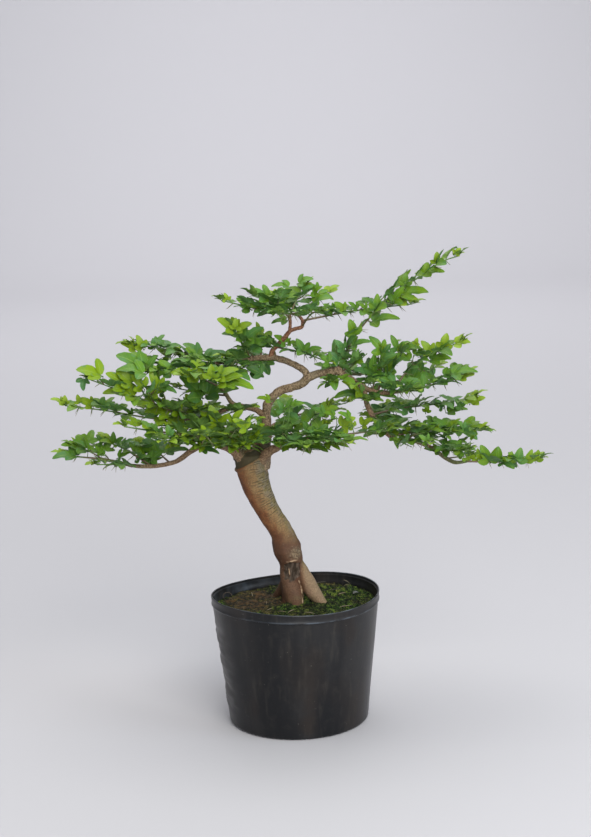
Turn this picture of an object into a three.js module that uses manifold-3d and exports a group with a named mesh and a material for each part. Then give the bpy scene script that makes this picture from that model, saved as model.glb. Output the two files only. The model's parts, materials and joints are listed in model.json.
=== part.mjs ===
// A limeberry trained as a bonsai, growing in a soft black nursery pot.
// Millimetres, +Z up. The origin is the centre of the pot's underside, and -Y is the front.

import * as THREE from 'three';
import { mergeVertices } from 'three/addons/utils/BufferGeometryUtils.js';
import Module from 'manifold-3d';

const wasm = await Module();
wasm.setup();

const GAP = 0.3; // free play between two pieces that touch

// Nursery pot
const POT_HEIGHT = 163;
const POT_RIM_RADIUS = 105;
const POT_BASE_RADIUS = 87.5;
const POT_WALL = 1.8;
const POT_FLOOR = 2;
const POT_EDGE = 4; // height of the rounded bottom edge
const POT_SIDES = 32;
const COLLAR_HEIGHT = 10.5;
const COLLAR_STEP = 1.5;
const HUB_RADIUS = 36; // flat disc in the middle of the underside
const FOOT_RADIUS = 72; // inner edge of the outer foot ring
const CHANNEL_RISE = 3.5; // the underside between hub and foot stands clear of the table
const CHANNEL_SLOPE = 3;
const DRAIN_COUNT = 6;
const DRAIN_RADIUS = 5;
const OVAL = 0.012; // the soft wall is pressed out of round by this share at the rim
const OVAL_ANGLE = THREE.MathUtils.degToRad(30);
const RIM_SADDLE = 2.8; // the rim rises this much at the ends of the oval, and sinks as much between them
const RIM_TILT = 2.4; // and it stands this much higher at the front

// Soil and moss
const SOIL_TOP = 145.5;
const MOSS_DEPTH = 4.5;
const MOSS_SIDES = 22;
const MOSS_RINGS = 4;
const MOUND_HEIGHT = 5;
const MOUND_RADIUS = 38;
const MOSS_ROOM = 1.2; // between the mat's edge and the pot's wall
const MOSS_EDGE_DROP = 2; // the mat is thinner at its edge
const SWELL = 1.5; // two waves that cross the mat
const RIPPLE = 1.1;

// Leaves, stems and spines
const LEAF_LENGTH = 28; // the end leaflet of a full-grown leaf
const SMALL_LEAF = 19; // a young leaf under this length has slimmer side leaflets
const BLADE = 0.7;
const PETIOLE = 3.5;
const PETIOLE_WIDTH = 1.3;
const SIDE_LEAFLET = 0.62; // length, as a share of the end leaflet's
const SIDE_ANGLE = THREE.MathUtils.degToRad(60);
const NODE_SPACING = 15;
const BARE_FOOT = 14; // length of a shoot that carries no leaf, where it leaves its limb
const LEAF_CLEARANCE = 0.5; // least distance between the middles of two leaves, as a share of the length
const STEM_RADIUS = 1.35;
const STEM_TIP_RADIUS = 0.7;
const STEM_STEP = 26; // longest straight piece of a stem
const STEM_CORNER = [0.87, -0.5]; // the lower corners of a stem's three-cornered section, across and up
const TIP_BARE = 1.2; // length of a stem past its last leaf
const SPINE_LENGTH = 11;
const POSES = 8; // poses that are tried for a leaf or a spine
const TOUCH = 0.02; // mm3 that a leaf may share with the stem that it grows from
const CLEAR = 1e-6;

const material = (color, roughness) =>
  new THREE.MeshStandardMaterial({ color, roughness, metalness: 0, flatShading: true });
const MATERIALS = {
  pot: material(0x1d1e20, 0.45),
  soil: material(0x2c2018, 0.95),
  moss: material(0x4b5a22, 0.95),
  wood: material(0x8b7055, 0.8),
  leaf: material(0x567f2a, 0.4),
};

// Each limb is a list of [x, y, z, radius] down its middle, with its number of sides and its step.
const LIMBS = {
  trunk: { sides: 12, step: 12, gnarl: 0.05, route: [
    [-3, -1, 124, 15], [-3, -1, 150, 14.5], [-4, 0, 180, 14], [-4, 0, 203, 15],
    [-8, 0, 220, 18.2], [-14, 0, 241, 14.2], [-26, 0, 262, 14.4], [-34, 0, 277, 15.4],
    [-40, 0, 291, 16.4], [-44.5, 0, 305, 17.6], [-47.5, 0, 319, 19], [-49.5, 0, 331, 20],
    [-50, 0, 343, 19.6]] },
  front_root: { sides: 7, step: 13, gnarl: 0.05, route: [
    [-9, -1, 204, 8], [-8, -4, 184, 10.5], [-4, -7, 168, 12], [-1, -10, 156, 11.5], [1, -12, 146, 10],
    [3, -13, 135, 7]] },
  right_root: { sides: 7, step: 12, gnarl: 0.05, route: [
    [0, 1, 208, 7.5], [8, -2, 190, 10], [16, -5, 176, 10.5], [22, -8, 165, 9.5], [29, -10, 156, 7.5],
    [38, -12, 147, 4.4], [45, -13, 140, 2.6]] },
  back_root: { sides: 5, step: 20, gnarl: 0.06, route: [
    [-6, 6, 196, 9], [-13, 17, 168, 7.6], [-24, 31, 150, 5], [-34, 43, 138, 3]] },
  left_stub: { sides: 7, step: 12, gnarl: 0.07, route: [
    [-56, 0, 326, 13], [-61, 0, 342, 10.5], [-62, 1, 356, 9]] },
  leader: { sides: 6, step: 12.5, gnarl: 0.07, route: [
    [-38, 0, 326, 12.5], [-33, 0, 344, 9.6], [-30, 1, 362, 7.4], [-28, 3, 380, 6], [-28, 4, 393, 5.4],
    [-27, 4, 401, 5.2], [-22, 5, 408, 5.2], [-15, 5, 416, 5.3], [-5, 4, 421, 5.1], [6, 2, 424, 5],
    [16, 0, 428, 5], [24, -2, 435, 5.4], [36, -4, 440, 5], [48, -5, 441, 5], [60, -7, 444, 5],
    [69, -9, 437, 4.9], [80, -11, 430, 4.6], [88, -13, 425, 4.2]] },
  left_arm: { sides: 5, step: 18, gnarl: 0.07, route: [
    [24, -2, 434, 4.8], [21, 1, 443, 4.4], [12, 5, 449, 4.1], [2, 9, 454, 4], [-8, 13, 457, 4],
    [-18, 17, 459, 3.8], [-40, 24, 458, 3.4], [-68, 28, 455, 3], [-100, 26, 452, 2.6], [-130, 20, 450, 2.1]] },
  apex_twig: { sides: 4, step: 12, gnarl: 0, route: [
    [-21, 18, 459, 3.4], [-17, 16, 469, 3], [-9, 13, 477, 2.9], [-2, 9, 485, 2.7], [5, 6, 493, 2.5],
    [12, 4, 496, 2.4], [19, 2, 498, 2.3], [20, 1, 506, 2.1], [14, 0, 514, 1.9]] },
  apex_fork: { sides: 4, step: 12, gnarl: 0, route: [
    [4, 7, 491, 2.4], [5, 6, 502, 1.9], [5, 5, 513, 1.7]] },
  right_arm: { sides: 4, step: 20, gnarl: 0, route: [
    [84, -12, 428, 4], [96, -14, 421, 3.4], [112, -15, 416, 3], [131, -16, 417, 2.6], [150, -18, 420, 2.2]] },
  cascade: { sides: 4, step: 15, gnarl: 0.06, route: [
    [86, -12, 426, 4], [93, -14, 417, 3.5], [95, -17, 404, 3.2], [102, -18, 388, 3], [117, -15, 367, 2.9],
    [130, -12, 357, 2.9], [154, -8, 353, 2.8], [177, -5, 341, 2.7], [192, -3, 329, 2.5], [204, -1, 323, 2.4],
    [218, 0, 324, 2]] },
  centre_right: { sides: 5, step: 20, gnarl: 0, route: [
    [-40, -4, 330, 8], [-28, -15, 346, 5.4], [-8, -27, 358, 4.2], [16, -38, 364, 3.4], [42, -50, 369, 2.8],
    [66, -58, 374, 2.2]] },
  left_front: { sides: 5, step: 20, gnarl: 0, route: [
    [-55, -4, 332, 9], [-70, -16, 351, 5.8], [-92, -32, 364, 4.4], [-118, -46, 374, 3.4], [-145, -56, 383, 2.5]] },
  left_low: { sides: 4, step: 16, gnarl: 0, route: [
    [-56, 2, 336, 8], [-76, 4, 353, 5.2], [-98, 3, 358, 4.1], [-120, 0, 350, 3.5], [-141, 0, 336, 3.1],
    [-168, 0, 331, 2.8], [-194, 0, 332, 2.4], [-217, 0, 338, 2.1], [-238, 0, 343, 1.8]] },
  left_mid: { sides: 4, step: 16, gnarl: 0, route: [
    [-29, 3, 388, 4.6], [-40, 5, 396, 3.6], [-57, 6, 401, 3.3], [-69, 5, 405, 3.1], [-76, 3, 416, 2.6],
    [-83, 0, 428, 2.2]] },
  left_long: { sides: 4, step: 18, gnarl: 0, route: [
    [-66, 5, 404, 3], [-80, 2, 398, 2.9], [-98, -2, 392, 2.7], [-120, -5, 388, 2.4]] },
  back_right: { sides: 4, step: 18, gnarl: 0, route: [
    [40, -3, 440, 4], [52, 22, 437, 3.2], [70, 50, 431, 2.7], [92, 74, 425, 2.1]] },
  back_left: { sides: 4, step: 18, gnarl: 0, route: [
    [-20, 18, 459, 3.4], [-34, 44, 451, 2.7], [-50, 68, 445, 2.1]] },
  back_low: { sides: 5, step: 20, gnarl: 0, route: [
    [-47, 5, 332, 8], [-39, 24, 352, 5.2], [-20, 50, 366, 3.8], [10, 76, 375, 2.6]] },
  back_low_left: { sides: 5, step: 20, gnarl: 0, route: [
    [-53, 6, 334, 8], [-74, 32, 356, 4.8], [-104, 56, 368, 3.4], [-134, 72, 376, 2.4]] },
};

// Each leafy shoot starts inside a limb, at a share of its length, and runs through the points to its tip.
const SHOOTS = {
  apex_left: { limb: 'apex_twig', at: 0.99, route: [[-30, -12, 523], [-77, -23, 537]] },
  apex_right: { limb: 'apex_twig', at: 0.87, route: [[79, 10, 514], [156, 23, 519]] },
  apex_back_right: { limb: 'apex_twig', at: 0.97, route: [[36, 30, 526], [54, 48, 532]] },
  apex_top: { limb: 'apex_fork', at: 0.99, route: [[14, 14, 530], [25, 22, 543]] },
  apex_left_top: { limb: 'apex_fork', at: 0.8, route: [[-16, -8, 530], [-38, -24, 541]] },
  apex_front: { limb: 'apex_twig', at: 0.94, route: [[6, -36, 520], [-8, -66, 523]] },
  apex_front_right: { limb: 'apex_twig', at: 0.78, route: [[32, -26, 518], [46, -49, 522]] },
  apex_back: { limb: 'apex_fork', at: 0.62, route: [[-6, 36, 524], [-13, 64, 529]] },
  riser: { limb: 'leader', at: 0.84, route: [
    [79, -9, 480], [111, -14, 519], [139, -17, 544], [167, -20, 559], [188, -22, 574], [209, -24, 581]] },
  veil: { limb: 'apex_twig', at: 0.2, route: [[20, 0, 466], [45, -13, 458]] },
  crown_left: { limb: 'left_arm', at: 0.5, route: [[-52, -2, 478], [-65, -13, 498]] },
  crown_back: { limb: 'left_arm', at: 0.42, route: [[-32, 34, 474], [-36, 41, 485]] },
  crown_front: { limb: 'left_arm', at: 0.52, route: [[-58, -8, 462], [-72, -31, 468]] },
  upper_back: { limb: 'left_arm', at: 0.72, route: [[-146, 46, 468], [-195, 54, 476]] },
  upper_end: { limb: 'left_arm', at: 0.99, route: [[-160, 16, 458], [-193, 10, 464]] },
  upper_front: { limb: 'left_arm', at: 0.66, route: [[-102, -16, 455], [-123, -56, 453]] },
  upper_mid: { limb: 'left_arm', at: 0.86, route: [[-136, -10, 452], [-169, -34, 455]] },
  upper_near: { limb: 'left_arm', at: 0.58, route: [[-70, -26, 448], [-81, -71, 448]] },
  upper_far: { limb: 'left_arm', at: 0.9, route: [[-126, 56, 456], [-143, 79, 459]] },
  second: { limb: 'left_long', at: 0.9, route: [[-142, -26, 404], [-186, -46, 428], [-240, -53, 452]] },
  second_back: { limb: 'left_mid', at: 0.98, route: [[-102, 2, 436], [-129, 6, 443]] },
  second_low: { limb: 'left_mid', at: 0.8, route: [[-104, 12, 418], [-136, 23, 423]] },
  long: { limb: 'left_long', at: 0.99, route: [[-165, -8, 392], [-222, -10, 404], [-273, -14, 413]] },
  front_end: { limb: 'left_front', at: 0.99, route: [[-172, -68, 390], [-196, -79, 397]] },
  front_near: { limb: 'left_front', at: 0.78, route: [[-138, -84, 380], [-148, -112, 384]] },
  front_mid: { limb: 'left_front', at: 0.55, route: [[-98, -72, 380], [-100, -106, 388]] },
  front_in: { limb: 'left_front', at: 0.35, route: [[-68, -52, 380], [-60, -84, 393]] },
  front_back: { limb: 'left_front', at: 0.66, route: [[-132, -22, 380], [-154, -12, 386]] },
  low_end: { limb: 'left_low', at: 0.99, route: [[-264, 0, 346], [-281, 0, 349]] },
  low_up: { limb: 'left_low', at: 0.66, route: [[-206, 16, 350], [-231, 28, 359]] },
  low_front: { limb: 'left_low', at: 0.72, route: [[-214, -26, 340], [-235, -42, 344]] },
  low_back: { limb: 'left_low', at: 0.54, route: [[-170, 32, 344], [-191, 54, 348]] },
  centre_end: { limb: 'centre_right', at: 0.99, route: [[96, -62, 378], [117, -65, 380]] },
  centre_near: { limb: 'centre_right', at: 0.84, route: [[60, -88, 374], [69, -116, 375]] },
  centre_front: { limb: 'centre_right', at: 0.62, route: [[20, -80, 368], [20, -112, 372]] },
  centre_top: { limb: 'centre_right', at: 0.6, route: [[28, -24, 386], [50, -16, 401]] },
  centre_in: { limb: 'centre_right', at: 0.42, route: [[-10, -50, 374], [-4, -80, 386]] },
  back_end: { limb: 'back_low', at: 0.98, route: [[46, 90, 380], [74, 100, 384]] },
  back_far: { limb: 'back_low', at: 0.9, route: [[0, 108, 380], [-4, 129, 384]] },
  back_near: { limb: 'back_low', at: 0.72, route: [[26, 50, 378], [56, 43, 384]] },
  back_left_end: { limb: 'back_low_left', at: 0.98, route: [[-164, 84, 382], [-186, 92, 386]] },
  back_left_far: { limb: 'back_low_left', at: 0.7, route: [[-104, 92, 376], [-101, 117, 380]] },
  reach: { limb: 'right_arm', at: 0.99, route: [[190, -22, 428], [217, -24, 435]] },
  lift: { limb: 'right_arm', at: 0.66, route: [[146, -4, 440], [172, 4, 457], [215, 6, 473]] },
  lift_back: { limb: 'right_arm', at: 0.4, route: [[122, 10, 444], [139, 20, 461]] },
  reach_front: { limb: 'right_arm', at: 0.6, route: [[138, -52, 424], [153, -78, 428]] },
  reach_back: { limb: 'right_arm', at: 0.86, route: [[166, 26, 430], [188, 45, 437]] },
  reach_in: { limb: 'leader', at: 0.95, route: [[96, -46, 434], [101, -67, 437]] },
  tail: { limb: 'cascade', at: 0.99, route: [[264, 3, 321], [310, 5, 323]] },
  drop_top: { limb: 'cascade', at: 0.22, route: [[140, 18, 390], [190, 26, 393], [231, 29, 399]] },
  drop_side: { limb: 'cascade', at: 0.42, route: [[176, 4, 364], [237, 4, 361]] },
  drop_front: { limb: 'cascade', at: 0.5, route: [[150, -52, 362], [167, -82, 365]] },
  drop_back: { limb: 'cascade', at: 0.36, route: [[118, 34, 378], [128, 64, 382]] },
  drop_low: { limb: 'cascade', at: 0.7, route: [[196, -44, 348], [214, -62, 351]] },
  knot: { limb: 'cascade', at: 0.14, route: [[96, -36, 410], [95, -48, 412]] },
};

// A repeatable draw between 0 and 1 for two whole numbers.
function draw(a, b) {
  const s = Math.sin(a * 12.9898 + b * 78.233) * 43758.5453;
  return s - Math.floor(s);
}

// The closed solid of a geometry, with its shared vertices merged and its empty triangles left out.
function solid(geometry) {
  const bare = new THREE.BufferGeometry();
  bare.setAttribute('position', geometry.getAttribute('position'));
  bare.setIndex(geometry.index);
  const merged = mergeVertices(bare, 1e-4);
  const index = merged.index.array;
  const kept = [];
  for (let i = 0; i < index.length; i += 3) {
    const [a, b, c] = [index[i], index[i + 1], index[i + 2]];
    if (a !== b && b !== c && c !== a) kept.push(a, b, c);
  }
  return new wasm.Manifold(new wasm.Mesh({
    numProp: 3,
    vertProperties: merged.getAttribute('position').array,
    triVerts: new Uint32Array(kept),
  }));
}

// The named mesh of a solid's largest body; a scrap that a cut left loose is dropped.
function mesh(name, body, look) {
  const [largest] = body.decompose().sort((a, b) => b.volume() - a.volume());
  const { vertProperties, triVerts } = largest.getMesh();
  const geometry = new THREE.BufferGeometry();
  geometry.setAttribute('position', new THREE.BufferAttribute(vertProperties, 3));
  geometry.setIndex(new THREE.BufferAttribute(triVerts, 1));
  geometry.computeVertexNormals();
  const made = new THREE.Mesh(geometry, look);
  made.name = name;
  return made;
}

// Moves every vertex of a geometry by a rule on its position.
function reshape(geometry, rule) {
  const position = geometry.getAttribute('position');
  const point = new THREE.Vector3();
  for (let i = 0; i < position.count; i += 1) {
    point.fromBufferAttribute(position, i);
    rule(point);
    position.setXYZ(i, point.x, point.y, point.z);
  }
  return geometry;
}

// A turned solid about +Z from a profile of [radius, height] points that starts and ends on the axis.
function turned(profile, sides) {
  const points = profile.map(([r, z]) => new THREE.Vector2(r, z));
  return new THREE.LatheGeometry(points, sides).rotateX(Math.PI / 2);
}

// The pot's wall gives a little: it is pressed into an oval, which bends its rim into a saddle.
function pressed(point) {
  const up = point.z / POT_HEIGHT;
  const angle = Math.atan2(point.y, point.x);
  const across = Math.cos(2 * (angle - OVAL_ANGLE));
  const reach = (Math.hypot(point.x, point.y) / POT_RIM_RADIUS) ** 2;
  point.z += reach * up ** 4 * (RIM_SADDLE * across - RIM_TILT * Math.sin(angle));
  point.x *= 1 + OVAL * up * across;
  point.y *= 1 + OVAL * up * across;
}

const wallRadius = (z) =>
  POT_BASE_RADIUS + ((POT_RIM_RADIUS - COLLAR_STEP - POT_BASE_RADIUS) * z) / (POT_HEIGHT - COLLAR_HEIGHT);

function nurseryPot() {
  const shoulder = POT_HEIGHT - COLLAR_HEIGHT;
  const profile = [
    [0, 0], [HUB_RADIUS, 0], [HUB_RADIUS + CHANNEL_SLOPE, CHANNEL_RISE],
    [FOOT_RADIUS - CHANNEL_SLOPE, CHANNEL_RISE], [FOOT_RADIUS, 0], [POT_BASE_RADIUS - POT_EDGE * 0.8, 0],
    [wallRadius(POT_EDGE), POT_EDGE], [wallRadius(shoulder), shoulder],
    [POT_RIM_RADIUS - 0.3, shoulder + COLLAR_STEP], [POT_RIM_RADIUS, POT_HEIGHT],
    [POT_RIM_RADIUS - POT_WALL, POT_HEIGHT], [wallRadius(shoulder) - POT_WALL, shoulder],
    [wallRadius(POT_EDGE) - POT_WALL, POT_EDGE + 1], [FOOT_RADIUS + 0.5, POT_FLOOR],
    [FOOT_RADIUS - CHANNEL_SLOPE + 0.5, CHANNEL_RISE + POT_FLOOR],
    [HUB_RADIUS + CHANNEL_SLOPE - 0.5, CHANNEL_RISE + POT_FLOOR], [HUB_RADIUS - 0.5, POT_FLOOR],
    [0, POT_FLOOR]];
  const shell = solid(reshape(turned(profile, POT_SIDES), pressed));
  const ring = (HUB_RADIUS + FOOT_RADIUS) / 2;
  const drains = Array.from({ length: DRAIN_COUNT }, (_, i) => {
    const angle = ((i + 0.5) * 2 * Math.PI) / DRAIN_COUNT;
    const hole = new THREE.CylinderGeometry(DRAIN_RADIUS, DRAIN_RADIUS, 20, 6).rotateX(Math.PI / 2);
    return solid(hole.translate(ring * Math.cos(angle), ring * Math.sin(angle), 0));
  });
  return shell.subtract(wasm.Manifold.union(drains));
}

function soilBall() {
  const floor = CHANNEL_RISE + POT_FLOOR + GAP;
  const reach = (z) => wallRadius(z) - POT_WALL - GAP;
  const profile = [[0, floor], [reach(floor), floor], [reach(SOIL_TOP), SOIL_TOP], [0, SOIL_TOP]];
  return solid(reshape(turned(profile, POT_SIDES), pressed));
}

// Moss lies in low cushions, and mounds up against the foot of the trunk.
function mossMat() {
  const bottom = SOIL_TOP + GAP;
  const radius = wallRadius(bottom) - POT_WALL - MOSS_ROOM;
  const profile = [[0, bottom], [radius, bottom]];
  for (let i = 0; i <= MOSS_RINGS; i += 1) {
    profile.push([radius * Math.sqrt(1 - i / MOSS_RINGS), bottom + MOSS_DEPTH]);
  }
  const geometry = turned(profile, MOSS_SIDES);
  reshape(geometry, (p) => {
    if (p.z < bottom + 1) return;
    const r = Math.hypot(p.x, p.y);
    p.z += SWELL * Math.sin(p.x / 9 + 1) * Math.cos(p.y / 8) + RIPPLE * Math.sin((p.x - p.y) / 6.1);
    p.z += MOUND_HEIGHT * Math.exp(-((r / MOUND_RADIUS) ** 2));
    p.z -= r > radius - 1 ? MOSS_EDGE_DROP : 0;
  });
  return solid(reshape(geometry, pressed));
}

// A line through [x, y, z, ...] points.
const lineThrough = (route) =>
  new THREE.CatmullRomCurve3(route.map(([x, y, z]) => new THREE.Vector3(x, y, z)), false, 'centripetal');

// A round, tapering solid along a curve: a closed cylinder whose rings are carried to the curve's frames.
// radiusAt(share of the length, angle) gives its size, and skin grows it on all sides.
function swept(curve, sides, steps, radiusAt, skin) {
  const frames = curve.computeFrenetFrames(steps, false);
  const geometry = new THREE.CylinderGeometry(1, 1, 1, sides, steps);
  return solid(reshape(geometry, (p) => {
    const share = p.y + 0.5;
    const ring = Math.round(share * steps);
    const across = Math.hypot(p.x, p.z);
    const radius = across * radiusAt(share, Math.atan2(p.z, p.x)) + across * skin;
    const angle = Math.atan2(p.z, p.x);
    const end = (ring === steps ? skin : 0) - (ring === 0 ? skin : 0);
    p.copy(curve.getPointAt(ring / steps))
      .addScaledVector(frames.normals[ring], radius * Math.cos(angle))
      .addScaledVector(frames.binormals[ring], -radius * Math.sin(angle))
      .addScaledVector(frames.tangents[ring], end);
  }));
}

const limbCurves = Object.fromEntries(
  Object.entries(LIMBS).map(([name, limb]) => [name, lineThrough(limb.route)]));

// One limb: its radius follows its route, with shallow ribs that wind slowly round it.
function limbSolid(name, skin = 0) {
  const { route, sides, step, gnarl } = LIMBS[name];
  const curve = limbCurves[name];
  const length = curve.getLength();
  const radiusAt = (share, angle) => {
    const along = curve.getUtoTmapping(share) * (route.length - 1);
    const i = Math.min(Math.floor(along), route.length - 2);
    const radius = THREE.MathUtils.lerp(route[i][3], route[i + 1][3], along - i);
    const turn = share * length * 0.05;
    return radius * (1 + gnarl * (Math.sin(2 * angle + turn) + 0.6 * Math.sin(5 * angle - 2 * turn)));
  };
  return swept(curve, sides, Math.max(3, Math.round(length / step)), radiusAt, skin);
}

// The outline of a trifoliate leaf, cut to the rib between its three leaflets, with the junction last.
// Its own frame has x out along the end leaflet and z up from the upper face, with the stem's middle at 0.
function leafOutline(length, skin) {
  const outline = [];
  const add = (x, y, rise) => {
    const reach = Math.hypot(x, y);
    outline.push([PETIOLE + x * (length + skin / reach), y * (length + skin / reach), rise * length]);
  };
  const [c, s] = [Math.cos(SIDE_ANGLE), Math.sin(SIDE_ANGLE)];
  const addSide = (sign, along, across, rise) =>
    add(c * along - s * across, sign * (s * along + c * across), rise);
  const broad = length > SMALL_LEAF;
  if (broad) addSide(-1, 0.3, 0.15, 0.15);
  addSide(-1, SIDE_LEAFLET, -0.02, 0.24);
  add(0.18, -0.12, 0.04);
  add(0.54, -0.24, 0.05);
  add(1, 0, -0.06);
  add(0.54, 0.24, 0.05);
  add(0.18, 0.12, 0.04);
  addSide(1, SIDE_LEAFLET, -0.02, 0.24);
  if (broad) addSide(1, 0.3, 0.15, 0.15);
  outline.push([PETIOLE, 0, -0.015 * length]);
  return outline;
}

// One leaf on its foot: four corners of the stem, of which the leaf takes the place of the face.
// The points are the foot's, then those of the upper face and those of the lower one.
function leafPatch({ base, out, side, up, length, foot }, skin = 0) {
  const outline = leafOutline(length, skin);
  const face = (lift) => outline.map(([x, y, rise]) =>
    base.clone().addScaledVector(out, x).addScaledVector(side, y).addScaledVector(up, rise + lift));
  const points = [...foot, ...face(BLADE / 2 + skin), ...face(-BLADE / 2 - skin)];
  const row = (start) => outline.slice(0, -1).map((_, i) => start + i);
  const upper = [0, ...row(4), 1];
  const lower = [2, ...row(4 + outline.length), 3];
  const [top, bottom] = [3 + outline.length, 3 + 2 * outline.length];
  const index = [];
  upper.forEach((a, i) => {
    const j = (i + 1) % upper.length;
    index.push(a, upper[j], top, lower[j], lower[i], bottom);
    if (j > 0) index.push(a, lower[i], upper[j], upper[j], lower[i], lower[j]);
  });
  return { points, index, seal: [1, 3, 0, 0, 3, 2] };
}

// One straight spine on its foot, a slim pyramid.
function spinePatch({ base, direction, length, foot }, skin = 0) {
  const tip = base.clone().addScaledVector(direction, STEM_RADIUS + length + skin);
  const points = [...foot.map((p) => p.clone().lerp(base, -skin / STEM_RADIUS)), tip];
  return { points, index: [0, 1, 4, 1, 2, 4, 2, 3, 4, 3, 0, 4], seal: [0, 2, 1, 0, 3, 2] };
}

function indexed(points, index) {
  const geometry = new THREE.BufferGeometry();
  geometry.setAttribute('position', new THREE.Float32BufferAttribute(points.flatMap((p) => p.toArray()), 3));
  geometry.setIndex(index);
  return solid(geometry);
}

const sealed = ({ points, index, seal }) => indexed(points, [...index, ...seal]);

// The stem of a shoot as three-cornered rings: one corner on top, one to the left and one to the right.
// Two rings stand close together at every leaf node, so that a leaf or a spine can take the place of
// the face between them.
function stemRings({ curve, length, nodes }) {
  const shares = [0];
  for (const node of nodes) {
    const half = PETIOLE_WIDTH / 2 / length;
    const last = shares[shares.length - 1];
    const spare = Math.floor(((node.share - last) * length) / STEM_STEP);
    for (let i = 1; i <= spare; i += 1) shares.push(last + ((node.share - last) * i) / (spare + 1));
    node.ring = shares.length;
    shares.push(node.share - half, node.share + half);
  }
  const rings = [];
  const up = new THREE.Vector3(0, 0, 1);
  for (const share of shares.toReversed()) {
    const tangent = curve.getTangentAt(share);
    up.addScaledVector(tangent, -up.dot(tangent)).normalize();
    const left = up.clone().cross(tangent);
    const radius = THREE.MathUtils.lerp(STEM_RADIUS, STEM_TIP_RADIUS, share);
    const corner = (across, rise) =>
      curve.getPointAt(share).addScaledVector(left, across * radius).addScaledVector(up, rise * radius);
    const [wide, low] = STEM_CORNER;
    rings.unshift({ tangent, left, up: up.clone(), corners: [corner(0, 1), corner(wide, low), corner(-wide, low)] });
  }
  return rings;
}

function stemSolid(plan) {
  return indexed(plan.rings.flatMap((ring) => ring.corners), ringTriangles(plan.rings.length, () => false));
}

// The triangles of a row of rings with both its ends; isOpen(ring, side) names the faces that are left out.
function ringTriangles(count, isOpen) {
  const end = 3 * (count - 1);
  const index = [0, 1, 2, end, end + 2, end + 1];
  for (let ring = 0; ring < count - 1; ring += 1) {
    for (let side = 0; side < 3; side += 1) {
      const [a, b] = [3 * ring + side, 3 * ring + ((side + 1) % 3)];
      if (!isOpen(ring, side)) index.push(a, a + 3, b + 3, a, b + 3, b);
    }
  }
  return index;
}

// A shoot as one closed body, with its leaves and spines grown out of the faces of its stem.
function shootSolid({ rings, nodes }) {
  const points = rings.flatMap((ring) => ring.corners);
  const open = new Set();
  const index = [];
  const graft = ({ points: added, index: triangles }, foot, ring, side) => {
    const number = (i) => (i < foot.length ? foot[i] : points.length + i - foot.length);
    index.push(...triangles.map(number));
    points.push(...added.slice(foot.length));
    open.add(`${ring}/${side}`);
  };
  for (const { ring, leaf, spine, sign } of nodes) {
    if (leaf) graft(leafPatch(leaf), leafFoot(ring, sign), ring, sign > 0 ? 0 : 2);
    if (spine) graft(spinePatch(spine), spineFoot(ring), ring, 1);
  }
  index.push(...ringTriangles(rings.length, (ring, side) => open.has(`${ring}/${side}`)));
  return indexed(points, index);
}

// The corners of the stem that the foot of a leaf or a spine stands on, as point numbers.
function leafFoot(ring, sign) {
  const [near, far] = [3 * ring, 3 * ring + 3];
  return sign > 0 ? [far, near, far + 1, near + 1] : [near, far, near + 2, far + 2];
}

const spineFoot = (ring) => [3 * ring + 1, 3 * ring + 4, 3 * ring + 5, 3 * ring + 2];
const cornersOf = (rings, numbers) => numbers.map((n) => rings[Math.floor(n / 3)].corners[n % 3]);

// Where a shoot's stem runs, and where the nodes are that may carry a leaf and a spine.
function planShoot([name, { limb, at, route }], number) {
  const curve = lineThrough([limbCurves[limb].getPointAt(at).toArray(), ...route]);
  const length = curve.getLength();
  const count = Math.max(2, Math.round((length - BARE_FOOT) / NODE_SPACING));
  const nodes = Array.from({ length: count }, (_, k) => ({
    key: number * 31 + k,
    share: 1 - (TIP_BARE + (length - BARE_FOOT) * ((count - 1 - k) / count)) / length,
    sign: (number + k) % 2 ? 1 : -1,
    fromTip: count - 1 - k,
  }));
  const plan = { name: `spray_${name}`, curve, length, nodes };
  plan.rings = stemRings(plan);
  return plan;
}

// The n-th try at a leaf for a node: it alternates between the sides, and the tip leaf points ahead.
function tryLeaf({ curve, rings }, { key, ring, share, sign, fromTip }, attempt) {
  const { tangent, left, up } = rings[ring];
  const vary = (range, salt) => range * (draw(key, salt + 10 * attempt) - 0.5);
  const swing = (fromTip ? 0.98 : 0.2) + vary(0.5 + 0.1 * attempt, 1);
  const lift = (fromTip ? 0.5 : 0.25) + vary(0.4 + 0.12 * attempt, 2);
  const roll = vary(0.6 + 0.15 * attempt, 3);
  const out = tangent.clone().multiplyScalar(Math.cos(swing) * Math.cos(lift))
    .addScaledVector(left, sign * Math.sin(swing) * Math.cos(lift))
    .addScaledVector(up, Math.sin(lift));
  const level = up.clone().cross(out).normalize();
  const side = level.clone().applyAxisAngle(out, roll);
  const young = 0.5 + 0.5 * THREE.MathUtils.smoothstep(fromTip, -0.6, 2.4);
  const length = LEAF_LENGTH * young * (0.9 + 0.24 * draw(key, 4)) * (1 - 0.03 * attempt);
  const centre = curve.getPointAt(share).addScaledVector(out, PETIOLE + length * 0.4);
  const foot = cornersOf(rings, leafFoot(ring, sign));
  return { base: curve.getPointAt(share), out, side, up: out.clone().cross(side), length, centre, foot };
}

function trySpine({ curve, rings }, { key, ring, share, sign }, attempt) {
  const { tangent, left, up } = rings[ring];
  const direction = up.clone().multiplyScalar(-1)
    .addScaledVector(left, sign * (0.5 + 0.5 * draw(key, 5 + 10 * attempt)))
    .addScaledVector(tangent, 0.3 + 0.8 * (draw(key, 6 + 10 * attempt) - 0.5)).normalize();
  const foot = cornersOf(rings, spineFoot(ring));
  return { base: curve.getPointAt(share), direction, length: SPINE_LENGTH * (0.8 + 0.35 * draw(key, 7)), foot };
}

const union = (solids) => wasm.Manifold.union(solids);
const boxesMeet = (a, b) =>
  [0, 1, 2].every((i) => a.min[i] < b.max[i] && b.min[i] < a.max[i]);

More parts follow.
